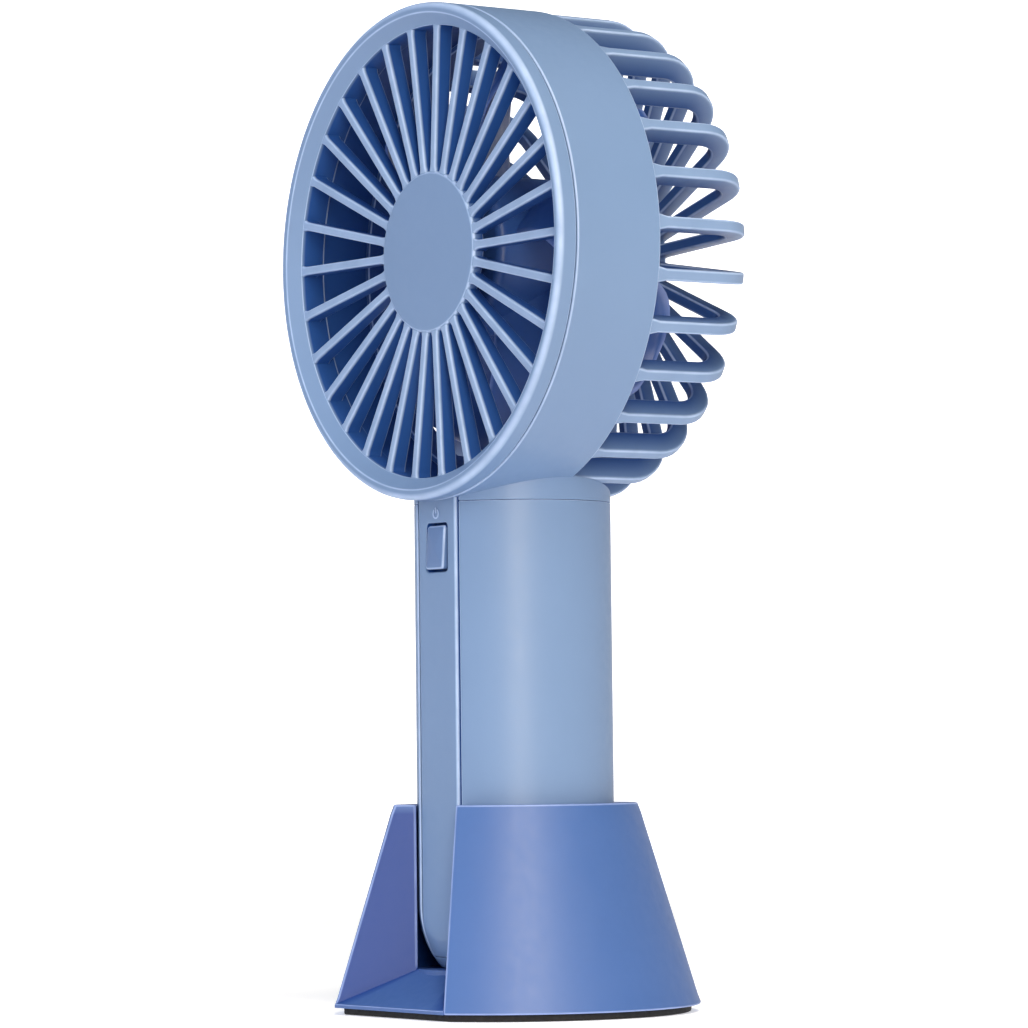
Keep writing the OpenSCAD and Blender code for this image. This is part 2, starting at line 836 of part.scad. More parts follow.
// Half pipe behind the cell with end plates, ribs to the shell, a screw boss and a board slot
module battery_cradle() {
    floor_z = cell_z0 - 1.9;
    top_z = cell_z1 + 0.8;
    plate = 1.3;
    rib_heights = [26, 50, 76];
    boss_z = [22, 30];
    color([0.88, 0.88, 0.86])
        difference() {
            union() {
                translate([0, cell_y, floor_z])
                    cylinder(r = cradle_out_r, h = top_z + plate - floor_z);
                for (z = rib_heights)
                    translate([-1, cell_y + cell_r, z])
                        cube([2, handle_r - handle_wall - cell_y - cell_r - 0.2, 3]);
                for (s = [-1, 1], z = rib_heights)
                    translate([s * (cradle_out_r + 2.2) - 2.9, cell_y - 1, z])
                        cube([5.8, 2, 3]);
                translate([-screw_boss_w / 2, cavity_front_y + 0.1, boss_z[0]])
                    cube([screw_boss_w, 10, boss_z[1] - boss_z[0]]);
                for (y = [-6, 6])
                    translate([board_x - 1.4, y, top_z + plate - 0.1])
                        cube([4, 2.4, 5]);
            }
            // Room for the cell, open to the front above and below the ring that carries the boss
            translate([0, cell_y, cell_z0 - 0.6])
                cylinder(r = cradle_in_r, h = top_z - cell_z0 + 0.6);
            for (z = [[cell_z0 - 0.6, boss_z[0]], [boss_z[1], top_z]])
                translate([-handle_r, cell_y - 2 - handle_r, z[0]])
                    cube([2 * handle_r, handle_r, z[1] - z[0]]);
            // Slot that takes the board's lower edge
            translate([board_x - 0.05, -13, board_z0 - 0.1])
                cube([board_t + 0.1, 27, 10]);
            // Hole for the lower shell screw
            translate([0, cavity_front_y - past, shell_screw_z[1]])
                rotate([-90, 0, 0])
                    cylinder(r = shell_screw_r, h = 8, $fn = 32);
            // Openings for the wires
            translate([4.4, 4, top_z - past])
                cube([3.4, 3.4, 4]);
            translate([5, -12, floor_z - past])
                cube([8, 12.2, 3.2]);
        }
}

module shell_screws() {
    color(steel)
        for (z = shell_screw_z)
            translate([0, web_y, z])
                rotate([-90, 0, 0]) {
                    translate([0, 0, -shell_screw_head_t])
                        cylinder(r = shell_screw_head_r, h = shell_screw_head_t, $fn = 32);
                    translate([0, 0, -0.1])
                        cylinder(r = shell_screw_r, h = 6.5, $fn = 32);
                }
}

// ---- Dock ----

// Half space wedge above the sloping apron at the foot of the slot
module above_apron(drop) {
    slope = (socket_floor_z - dock_z0) / (slot_y - apron_front_y);
    reach = 40;
    rotate([90, 0, 90])
        linear_extrude(120, center = true)
            polygon([[slot_y + 5, socket_floor_z - drop], [slot_y, socket_floor_z - drop],
                     [slot_y - reach, socket_floor_z - drop - reach * slope],
                     [slot_y - reach, dock_h + past], [slot_y + 5, dock_h + past]]);
}

// The splayed front slot, grown by a margin for the walls beside it
module front_slot(margin) {
    reach = 30;
    grow = margin * sqrt(1 + pow(splay_slope, 2));
    intersection() {
        linear_extrude(dock_h + 2 * past)
            polygon([[-slot_half_w - grow, slot_y + 5], [slot_half_w + grow, slot_y + 5],
                     [slot_half_w + grow, slot_y],
                     [slot_half_w + grow + reach * splay_slope, slot_y - reach],
                     [-slot_half_w - grow - reach * splay_slope, slot_y - reach],
                     [-slot_half_w - grow, slot_y]]);
        above_apron(margin);
    }
}

// Everything in front of the dock's sloping front plane
module beyond_front(inset) {
    lean = (front_top_y - apron_front_y) / (dock_h - dock_z0);
    rotate([90, 0, 90])
        linear_extrude(120, center = true)
            polygon([[apron_front_y + inset - lean * dock_z0 * 2, -dock_z0],
                     [front_top_y + inset + lean * dock_z0, dock_h + dock_z0],
                     [-60, dock_h + dock_z0], [-60, -dock_z0]]);
}

module dock_cone(inset, z0, z1) {
    taper = (dock_bottom_r - dock_top_r) / (dock_h - dock_z0);
    translate([0, 0, z0])
        cylinder(r1 = dock_bottom_r - inset - taper * (z0 - dock_z0),
                 r2 = dock_bottom_r - inset - taper * (z1 - dock_z0), h = z1 - z0, $fn = 128);
}

module dock_hollow() {
    difference() {
        dock_cone(dock_wall, dock_z0 - past, dock_h - 2.4);
        translate([0, 0, socket_floor_z - 2])
            cylinder(r = socket_r + 1.9, h = dock_h);
        front_slot(dock_wall);
        beyond_front(dock_wall);
        for (p = dock_posts)
            translate([p[0], p[1], dock_z0 + plate_t])
                cylinder(r = 2.6, h = 24, $fn = 48);
    }
}

module dock_body() {
    color(dock_blue)
        difference() {
            dock_cone(0, dock_z0, dock_h);
            beyond_front(0);
            front_slot(0);
            translate([0, 0, socket_floor_z])
                cylinder(r = socket_r, h = dock_h);
            dock_hollow();
            for (p = dock_posts)
                translate([p[0], p[1], dock_z0])
                    cylinder(r = dock_screw_r, h = 8, $fn = 32);
        }
}

// Flat fronted disc that the base plate and the pad share
module dock_disc(r, front_y, z0, h) {
    intersection() {
        translate([0, 0, z0])
            cylinder(r = r, h = h, $fn = 128);
        translate([-r - past, front_y, z0 - past])
            cube([2 * r + 2 * past, 3 * r, h + 2 * past]);
    }
}

module dock_base_plate() {
    color([0.2, 0.22, 0.26])
        difference() {
            dock_disc(dock_bottom_r - dock_wall - 0.9, plate_front_y, dock_z0, plate_t);
            for (p = dock_posts)
                translate([p[0], p[1], dock_z0 - past]) {
                    cylinder(r = dock_screw_r + 0.3, h = plate_t + 2 * past, $fn = 32);
                    cylinder(r = dock_screw_head_r + 0.2, h = past + 1, $fn = 32);
                }
        }
}

module dock_screws() {
    color(steel)
        for (p = dock_posts)
            translate([p[0], p[1], dock_z0]) {
                translate([0, 0, 0.1])
                    cylinder(r = dock_screw_head_r, h = 0.9, $fn = 32);
                translate([0, 0, 0.5])
                    cylinder(r = dock_screw_r, h = 6.5, $fn = 32);
            }
}

module rubber_pad() {
    color(dark_rubber)
        dock_disc(dock_bottom_r - 2, apron_front_y + 2, 0, pad_t);
}

front_grille();
drum_housing();
rear_guard();
rear_hub_cap();
fan_blades();
motor_shaft();
motor_armature();
motor_windings();
motor_commutator();
motor_can();
motor_magnets();
motor_end_cap();
motor_brushes();
front_bearing();
rear_bearing();
motor_screws();
red_motor_lead();
black_motor_lead();
handle_shell();
front_strip();
speed_button();
switch_plunger();
tact_switch();
control_board();
board_components();
charging_port();
indicator_light();
battery_cell();
battery_cradle();
battery_tabs();
red_battery_lead();
black_battery_lead();
shell_screws();
dock_body();
dock_base_plate();
dock_screws();
rubber_pad();
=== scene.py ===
import json
import math

import bmesh
import bpy
import numpy as np
from mathutils import Matrix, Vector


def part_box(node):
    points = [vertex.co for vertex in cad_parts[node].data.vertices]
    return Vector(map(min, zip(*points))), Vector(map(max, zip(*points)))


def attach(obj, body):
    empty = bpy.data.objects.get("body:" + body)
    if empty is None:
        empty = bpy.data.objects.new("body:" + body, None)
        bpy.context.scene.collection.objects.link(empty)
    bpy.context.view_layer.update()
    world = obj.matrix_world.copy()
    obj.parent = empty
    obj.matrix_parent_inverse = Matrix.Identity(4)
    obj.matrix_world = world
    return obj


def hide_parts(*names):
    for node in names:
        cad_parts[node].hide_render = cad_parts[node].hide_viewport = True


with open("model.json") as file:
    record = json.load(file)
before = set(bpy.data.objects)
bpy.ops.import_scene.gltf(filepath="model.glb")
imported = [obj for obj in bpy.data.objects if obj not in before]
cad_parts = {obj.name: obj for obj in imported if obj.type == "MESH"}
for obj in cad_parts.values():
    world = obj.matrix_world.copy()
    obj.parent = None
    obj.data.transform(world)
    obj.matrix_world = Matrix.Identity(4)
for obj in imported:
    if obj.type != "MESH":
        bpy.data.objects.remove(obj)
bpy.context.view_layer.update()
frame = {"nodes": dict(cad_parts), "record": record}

# Lengths below are in millimetres; make() turns them into metres.
MM = 0.001


def span(node):
    """Lowest and highest corner of a CAD node, in millimetres."""
    low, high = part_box(node)
    return np.array(low) / MM, np.array(high) / MM


# ---- Sizes read from the frame ----

cover_lo, cover_hi = span("front_grille")
cap_lo, cap_hi = span("rear_hub_cap")
shell_lo, shell_hi = span("handle_shell")
strip_lo, strip_hi = span("front_strip")
button_lo, button_hi = span("speed_button")
dock_lo, dock_hi = span("dock_body")
pad_lo, pad_hi = span("rubber_pad")
port_lo, port_hi = span("charging_port")

head_r = cover_hi[0]
axis_z = (cover_lo[2] + cover_hi[2]) / 2
lip_y = cover_lo[1]
skirt_back_y = cover_hi[1]
drum_front_y = span("drum_housing")[0][1]
guard_back_y = span("rear_guard")[1][1]
rotor_front_y = span("fan_blades")[0][1]
handle_r = shell_hi[0]
handle_bottom_z = shell_lo[2]
handle_top_z = shell_hi[2]
flat_y = -strip_lo[1]
strip_half_w = strip_hi[0]
button_z = (button_lo[2] + button_hi[2]) / 2
port_z = (port_lo[2] + port_hi[2]) / 2
dock_r = dock_hi[0]
dock_z0 = dock_lo[2]
dock_top_z = dock_hi[2]
apron_y = dock_lo[1]

# ---- Details of the mouldings, as in the CAD unless a comment says otherwise ----

# Front cover: ring, middle disc and bars
OPENING_R = 47.8
DISC_R = 17.1
DISC_Y = -21.2
DISC_BACK_Y = -18.4
FRONT_BARS = 30
FRONT_BAR_W = 1.8
FRONT_BAR_BACK_Y = -17.8

# Drum and rear cage
DRUM_WALL = 4.1
DRUM_REAR_Y = 1.1
REAR_BARS = 30
REAR_PHASE = 3
REAR_BAR_W = 2.5
REAR_BAR_DEPTH = 5.3
BACK_BAR_T = 3.7
CAGE_CORNER_R = 11
CAGE_INNER_CORNER_R = 6
GUARD_FRONT_Y = -5
HUB_R = 17
CUP_R = 13.15
CUP_IN_R = 11.25
CUP_FRONT_Y = -7
CUP_FLOOR_Y = -5
CUP_HOLE_R = 3.3
LEAD_HOLE = (2.2, 15)
LEAD_HOLE_R = 1.7

# Rotor
BLADES = 5
BLADE_PHASE = -36
BLADE_ROOT_R = 16.15
BLADE_TIP_R = 45
BLADE_T = 1.4
ROTOR_BACK_Y = 11
ROTOR_WALL = 1.7
BOSS_R = 2.6
BOSS_BACK_Y = -8.3

# Handle, strip and button; the groove beside the strip is wider than the CAD's 0.2 mm
HANDLE_WALL = 2.2
DOME_Z = 23.1
SEAM = 0.2
STRIP_T = 2.2
STRIP_GAP = 0.7
LAMP_Z = 100.5
BUTTON_W = 7
BUTTON_H = 9.5
BUTTON_BACK_Y = -16.9

# Inset of an edge at each distance from the seam, on both its sides
SEAM_EDGE = ((0.2, 0.0), (0.06, 0.06), (0.0, 0.2))

# Dock
SOCKET_R = 21.4
SOCKET_FLOOR_Z = 9.6
SLOT_HALF_W = 8.2
SPLAY = 12 / 13.3
DOCK_TOP_R = 26
SOCKET_FRONT_Y = -math.sqrt(SOCKET_R ** 2 - SLOT_HALF_W ** 2)

# Roundings up to this radius get a painted edge highlight with some scuffing, and faces that meet
# more sharply than this keep their edge
SHEEN_AND_WEAR_ROUNDING = 2
SHARP_ANGLE = math.radians(38)

# Round the object from the front, and a circle of unit radius that starts at the front
CAMERA_AZIMUTH = math.radians(54.79)
ROUND = np.linspace(0, 2 * math.pi, 97)[:-1]
CIRCLE = np.column_stack([np.sin(ROUND), -np.cos(ROUND)])


# ---- Geometry helpers ----


def unit(vector):
    return vector / np.linalg.norm(vector)


def rounded(corners, closed=True, steps=None):
    """Points round a polygon of (x, y, radius) corners, and a painted edge highlight, with some
    scuffing, that peaks on rounded ones.
    """
    points, wear_and_sheen = [], []
    for i, (x, y, radius) in enumerate(corners):
        here = np.array([x, y], float)
        if radius == 0 or (not closed and i in (0, len(corners) - 1)):
            points.append(here)
            wear_and_sheen.append(0.0)
            continue
        back = unit(np.array(corners[i - 1][:2], float) - here)
        ahead = unit(np.array(corners[(i + 1) % len(corners)][:2], float) - here)
        half = math.acos(np.clip(back @ ahead, -1, 1)) / 2
        centre = here + unit(back + ahead) * radius / math.sin(half)
        first = here + back * radius / math.tan(half) - centre
        last = here + ahead * radius / math.tan(half) - centre
        start = math.atan2(first[1], first[0])
        turn = (math.atan2(last[1], last[0]) - start + math.pi) % (2 * math.pi) - math.pi
        count = steps or int(np.clip(3 + 2 * radius, 3, 9))
        for k in range(count + 1):
            angle = start + turn * k / count
            points.append(centre + radius * np.array([math.cos(angle), math.sin(angle)]))
            wear_and_sheen.append(math.sin(math.pi * k / count) if radius < SHEEN_AND_WEAR_ROUNDING else 0.0)
    return np.array(points), np.array(wear_and_sheen)


class Part:
    """Closed shells in millimetres, with a painted edge highlight value, partly scuffing, at each
    point.
    """

    def __init__(self):
        self.points = []
        self.wear_and_sheen = []
        self.faces = []

    def skin(self, rings, wear_and_sheen=0.0, joined=False):
        """Faces between closed rings of points, capped at both ends or joined end to end."""
        rings = np.asarray(rings, float)
        count, around = rings.shape[:2]
        base = len(self.points)
        self.points.extend(rings.reshape(-1, 3).tolist())
        wear_and_sheen = np.asarray(wear_and_sheen, float)
        if wear_and_sheen.ndim == 1 and len(wear_and_sheen) == count and count != around:
            wear_and_sheen = wear_and_sheen[:, None]
        self.wear_and_sheen.extend(np.broadcast_to(wear_and_sheen, (count, around)).reshape(-1).tolist())
        for i in range(count if joined else count - 1):
            a = base + i * around
            b = base + (i + 1) % count * around
            for k in range(around):
                n = (k + 1) % around
                self.faces.append((a + k, a + n, b + n, b + k))
        if not joined:
            self.faces.append([base + k for k in range(around)][::-1])
            self.faces.append([base + (count - 1) * around + k for k in range(around)])

    def turn(self, corners, steps=180):
        """A ring turned about the spin axis from a closed section of (radius, y, rounding)."""
        section, wear_and_sheen = rounded(corners)
        angles = np.arange(steps) * 2 * math.pi / steps
        rings = [on_axis(section[:, 0], section[:, 1], angle) for angle in angles]
        self.skin(rings, np.broadcast_to(wear_and_sheen, (steps, len(section))), joined=True)

    def turn_solid(self, corners, steps=144):
        """A solid turned about the spin axis from an open section that starts and ends near it."""
        section, wear_and_sheen = rounded(corners, closed=False)
        angles = np.arange(steps) * 2 * math.pi / steps
        rings = [np.array([on_axis(r, y, angle) for angle in angles]) for r, y in section]
        self.skin(rings, np.broadcast_to(wear_and_sheen[:, None], (len(section), steps)))

    def bar(self, front, back, half_w, angle, rounding, front_sheen=0.0):
        """A bar in the plane of the spin axis, between two curves of (radius, y) points.

        The face on the front curve gets a painted highlight, as strong as the last argument, and
        points just below it end the pale part.
        """
        skin_t = 0.85
        tolerance = 0.01
        rings, wear_and_sheen_rows = [], []
        along = np.array([-math.sin(angle), 0, math.cos(angle)])
        for (r0, y0), (r1, y1), half in zip(front, back, half_w):
            depth = math.hypot(r1 - r0, y1 - y0)
            section, wear_and_sheen = rounded([(-half, 0, rounding), (half, 0, rounding),
                                     (half, skin_t, 0), (half, depth, rounding),
                                     (-half, depth, rounding), (-half, skin_t, 0)])
            wear_and_sheen = np.where(section[:, 1] < rounding + tolerance, np.maximum(wear_and_sheen, front_sheen), wear_and_sheen)
            start = on_axis(r0, y0, angle)
            step = (on_axis(r1, y1, angle) - start) / depth
            rings.append([start + step * d + along * s for s, d in section])
            wear_and_sheen_rows.append(wear_and_sheen)
        self.skin(rings, np.array(wear_and_sheen_rows))


def on_axis(radius, y, angle):
    """The point at this distance from the spin axis, at an angle above +X."""
    radius, y = np.broadcast_arrays(np.asarray(radius, float), np.asarray(y, float))
    return np.stack([radius * math.cos(angle), y, axis_z + radius * math.sin(angle)], axis=-1)


def to_object(part, name):
    mesh = bpy.data.meshes.new(name)
    mesh.from_pydata((np.array(part.points) * MM).tolist(), [], part.faces)
    # Painted edge highlight, with some scuffing, is kept at each point.
    wear_and_sheen = mesh.attributes.new("wear_and_sheen", "FLOAT", "POINT")
    wear_and_sheen.data.foreach_set("value", np.array(part.wear_and_sheen, np.float32))
    work = bmesh.new()
    work.from_mesh(mesh)
    bmesh.ops.recalc_face_normals(work, faces=work.faces)
    work.to_mesh(mesh)
    work.free()
    piece = bpy.data.objects.new(name, mesh)
    bpy.context.scene.collection.objects.link(piece)
    return piece


def combine(piece, other, operation):
    """Joins another solid to a piece, or cuts it away, for good."""
    tool = to_object(other, piece.name + "_tool")
    modifier = piece.modifiers.new("combine", "BOOLEAN")
    modifier.operation = operation
    modifier.solver = "MANIFOLD"
    modifier.object = tool
    graph = bpy.context.evaluated_depsgraph_get()
    mesh = bpy.data.meshes.new_from_object(piece.evaluated_get(graph),
                                           preserve_all_data_layers=True, depsgraph=graph)
    piece.modifiers.clear()
    piece.data = mesh
    bpy.data.objects.remove(tool)


def make(part, name, body, slot, node, joins=(), cuts=(), depth=None):
    """A finished piece: one closed smooth mesh that rides on a body and stands for its CAD node.

    depth(radius, y, points) gives the strength of painted shade: 0 on outer surfaces and up to 1 in
    hollows and shaded places.
    """
    piece = to_object(part, name)
    for other in joins:
        combine(piece, other, "UNION")
    for other in cuts:
        combine(piece, other, "DIFFERENCE")
    piece.data.name = name
    if depth:
        points = np.zeros(len(piece.data.vertices) * 3)
        piece.data.vertices.foreach_get("co", points)
        points = points.reshape(-1, 3) / MM
        radius = np.hypot(points[:, 0], points[:, 2] - axis_z)
        # Painted shade: its strength is stored at each point as "inner".
        inner = piece.data.attributes.new("inner", "FLOAT", "POINT")
        inner.data.foreach_set("value", depth(radius, points[:, 1], points).astype(np.float32))
    piece.data.shade_smooth()
    piece.data.set_sharp_from_angle(angle=SHARP_ANGLE)
    piece.modifiers.new("normals", "WEIGHTED_NORMAL").keep_sharp = True
    piece.data.materials.clear()
    piece.data.materials.append(FINISHES[slot])
    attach(piece, body)
    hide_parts(node)


# ---- Materials ----


def srgb(red, green, blue):
    """Linear colour of an 8 bit display colour."""
    def linear(value):
        value /= 255
        return value / 12.92 if value <= 0.04045 else ((value + 0.055) / 1.055) ** 2.4
    return (linear(red), linear(green), linear(blue), 1.0)


class Graph:
    """A material's node tree, with short calls for the nodes that the finishes share."""

    def __init__(self, name):
        self.material = bpy.data.materials.new(name)
        self.material.use_nodes = True
        self.nodes = self.material.node_tree.nodes
        self.links = self.material.node_tree.links
        self.shader = self.nodes["Principled BSDF"]
        self.place = self.nodes.new("ShaderNodeTexCoord").outputs["Object"]

    def noise(self, size, detail=3.0):
        """Noise with features of about this size in millimetres."""
        node = self.nodes.new("ShaderNodeTexNoise")
        node.inputs["Scale"].default_value = 1 / (size * MM)
        node.inputs["Detail"].default_value = detail
        self.links.new(self.place, node.inputs["Vector"])
        return node.outputs["Fac"]

    def spread(self, value, low, high):
        """Maps noise, which is mostly between 0.3 and 0.7, to a range."""
        node = self.nodes.new("ShaderNodeMapRange")
        node.inputs["From Min"].default_value = 0.3
        node.inputs["From Max"].default_value = 0.7
        node.inputs["To Min"].default_value = low
        node.inputs["To Max"].default_value = high
        self.links.new(value, node.inputs["Value"])
        return node.outputs["Result"]

    def ramp(self, value, start, end, low, high):
        """Maps a value smoothly from one range to another; each end may be a socket."""
        node = self.nodes.new("ShaderNodeMapRange")
        node.interpolation_type = "SMOOTHSTEP"
        node.inputs["From Min"].default_value = start
        node.inputs["From Max"].default_value = end
        for socket, level in ((node.inputs["To Min"], low), (node.inputs["To Max"], high)):
            if isinstance(level, (int, float)):
                socket.default_value = level
            else:
                self.links.new(level, socket)
        self.links.new(value, node.inputs["Value"])
        return node.outputs["Result"]

    def vector(self, operation, first, second=None, output="Vector"):
        node = self.nodes.new("ShaderNodeVectorMath")
        node.operation = operation
        self.links.new(first, node.inputs[0])
        if second is not None:
            node.inputs[1].default_value = second
        return node.outputs[output]

    def blend(self, factor, first, second):
        """Mixes two colours; each is a colour or a socket."""
        node = self.nodes.new("ShaderNodeMix")
        node.data_type = "RGBA"
        self.links.new(factor, node.inputs["Factor"])
        for socket, value in ((node.inputs[6], first), (node.inputs[7], second)):
            if isinstance(value, tuple):
                socket.default_value = value
            else:
                self.links.new(value, socket)
        return node.outputs[2]

    def multiply(self, first, second):
        node = self.nodes.new("ShaderNodeMath")
        node.operation = "MULTIPLY"
        for socket, value in zip(node.inputs, (first, second)):
            if isinstance(value, (int, float)):
                socket.default_value = value
            else:
                self.links.new(value, socket)
        return node.outputs["Value"]

    def painted(self, name):
        """A value stored at the mesh's points: painted edge highlight, with some scuffing, on
        edges, and painted shade ("inner") in hollows and shaded places.
        """
        node = self.nodes.new("ShaderNodeAttribute")
        node.attribute_name = name
        return node.outputs["Fac"]

    def bump(self, height, depth, strength=1.0, onto=None):
        """Relief of this depth in millimetres."""
        node = self.nodes.new("ShaderNodeBump")
        node.inputs["Distance"].default_value = depth * MM
        node.inputs["Strength"].default_value = strength
        self.links.new(height, node.inputs["Height"])
        if onto is not None:
            self.links.new(onto, node.inputs["Normal"])
        return node.outputs["Normal"]

    def connect(self, **sockets):
        for name, value in sockets.items():
            self.links.new(value, self.shader.inputs[name.replace("_", " ")])


def shade(colour, factor):
    return tuple(min(1.0, channel * factor) for channel in colour[:3]) + (1.0,)


def plastic(name, colour, roughness=0.42, edge=1.9, grain=0.02, edge_share=0.8,
            shade_tint=(0.1, 0.28, 0.62), gloss=0.5):
    """Moulded plastic: faint cloudy colour, satin grain, a painted highlight with some scuffing on
    edges, and painted shade in hollows.
    """
    g = Graph(name)
    cloud = g.noise(38, 2.0)
    body = g.blend(cloud, shade(colour, 0.94), shade(colour, 1.06))
    # Painted shade: toward this darker, bluer tone where the "inner" value is high, standing in for
    # shadow in hollows and on shaded sides.
    inside = tuple(channel * share for channel, share in zip(colour, shade_tint)) + (1.0,)
    body = g.blend(g.painted("inner"), body, inside)
    # Painted edge highlight: rounded edges turn brighter and paler, broken up by noise like
    # scuffing.
    scuff_and_sheen = g.multiply(g.painted("wear_and_sheen"), g.spread(g.noise(6), edge_share * 0.6, edge_share))
    bright = shade(colour, edge)[:3]
    pale = tuple(channel + (1 - channel) * 0.12 * edge for channel in bright) + (1.0,)
    g.connect(Base_Color=g.blend(scuff_and_sheen, body, pale))
    g.connect(Roughness=g.spread(g.noise(2.4, 4.0), roughness - 0.04, roughness + 0.05))
    fine = g.bump(g.noise(0.35, 2.0), grain, 0.35)
    g.connect(Normal=g.bump(g.noise(14, 1.0), 0.03, 0.3, fine))
    g.shader.inputs["IOR"].default_value = 1.49
    g.shader.inputs["Specular IOR Level"].default_value = gloss
    return g.material


def metal(name, colour, roughness=0.28, grain=0.012):
    """Drawn or plated metal with fine scratches and uneven gloss."""
    g = Graph(name)
    g.connect(Base_Color=g.blend(g.noise(5), shade(colour, 0.82), shade(colour, 1.05)))
    g.connect(Roughness=g.spread(g.noise(0.8, 5.0), roughness - 0.08, roughness + 0.12))
    g.connect(Normal=g.bump(g.noise(0.25, 3.0), grain, 0.4))
    g.shader.inputs["Metallic"].default_value = 1.0
    return g.material


def rubber(name, colour):
    g = Graph(name)
    g.connect(Base_Color=g.blend(g.noise(3, 5.0), shade(colour, 0.7), shade(colour, 1.5)))
    g.connect(Roughness=g.spread(g.noise(1.2, 4.0), 0.72, 0.88))
    g.connect(Normal=g.bump(g.noise(0.5, 4.0), 0.05, 0.6))
    return g.material


def board_finish(name, colour):
    """Green solder mask with paler tracks under it."""
    g = Graph(name)
    tracks = g.nodes.new("ShaderNodeTexBrick")
    tracks.inputs["Scale"].default_value = 260
    tracks.inputs["Mortar Size"].default_value = 0.05
    tracks.inputs["Color1"].default_value = colour
    tracks.inputs["Color2"].default_value = shade(colour, 1.2)
    tracks.inputs["Mortar"].default_value = shade(colour, 2.2)
    g.links.new(g.place, tracks.inputs["Vector"])
    g.connect(Base_Color=tracks.outputs["Color"])
    g.connect(Roughness=g.spread(g.noise(1.5), 0.22, 0.36))
    g.connect(Normal=g.bump(tracks.outputs["Fac"], 0.03, 0.5))
    return g.material


def lens_finish(name, colour):
    g = Graph(name)
    g.connect(Base_Color=g.blend(g.noise(0.8), shade(colour, 0.9), colour))
    g.connect(Roughness=g.spread(g.noise(0.6), 0.12, 0.22))
    g.shader.inputs["Transmission Weight"].default_value = 0.5
    return g.material


head_blue = srgb(110, 138, 180)
dock_blue = srgb(60, 96, 160)
blade_blue = srgb(50, 88, 160)
FINISHES = {
    "head_plastic": plastic("head_plastic", head_blue),
    # The dock's painted shade is darker and bluer than the head's.
    "dock_plastic": plastic("dock_plastic", dock_blue, 0.5, edge=2.3, shade_tint=(0.0, 0.32, 0.68),
                            gloss=0.8),
    "blade_plastic": plastic("blade_plastic", blade_blue, 0.4),
    "rubber": rubber("rubber", srgb(26, 26, 28)),
    "motor_steel": metal("motor_steel", srgb(200, 202, 205), 0.34),
    "shaft_steel": metal("shaft_steel", srgb(210, 211, 214), 0.2),
    "magnet": metal("magnet", srgb(70, 70, 74), 0.6, 0.03),
    "lamination": metal("lamination", srgb(120, 120, 124), 0.45),
    "copper": metal("copper", srgb(196, 120, 72), 0.3),
    "bronze": metal("bronze", srgb(176, 140, 84), 0.4, 0.03),
    "screw_steel": metal("screw_steel", srgb(150, 152, 156), 0.3),
    "motor_plastic": plastic("motor_plastic", srgb(222, 220, 208), 0.45),
    "board": board_finish("board", srgb(20, 92, 48)),
    "component": plastic("component", srgb(32, 32, 35), 0.5),
    "port_steel": metal("port_steel", srgb(188, 190, 194), 0.26),
    "lens": lens_finish("lens", srgb(230, 236, 244)),
    "cell_wrap": plastic("cell_wrap", srgb(60, 130, 104), 0.3),
    "nickel": metal("nickel", srgb(198, 196, 186), 0.24),
    "cradle_plastic": plastic("cradle_plastic", srgb(226, 226, 220), 0.5),
    "wire_red": plastic("wire_red", srgb(190, 32, 26), 0.38),
    "wire_black": plastic("wire_black", srgb(24, 24, 26), 0.38),
}


def dress_cad_nodes():
    """Every CAD node gets the finish of its slot in the record."""
    for row in frame["record"]["materials"]:
        node = frame["nodes"].get(row.get("node"))
        if node is not None:
            node.data.materials.clear()
            node.data.materials.append(FINISHES[row["slot"]])


# ---- Head ----


def flared(radii, ends, base, flare, reach):
    """Half widths along a bar that widens smoothly where it meets its ends."""
    widths = []
    for r in radii:
        gap = min(abs(r - end) for end in ends)
        widths.append(base + flare * max(0.0, 1 - gap / reach) ** 2)
    return widths


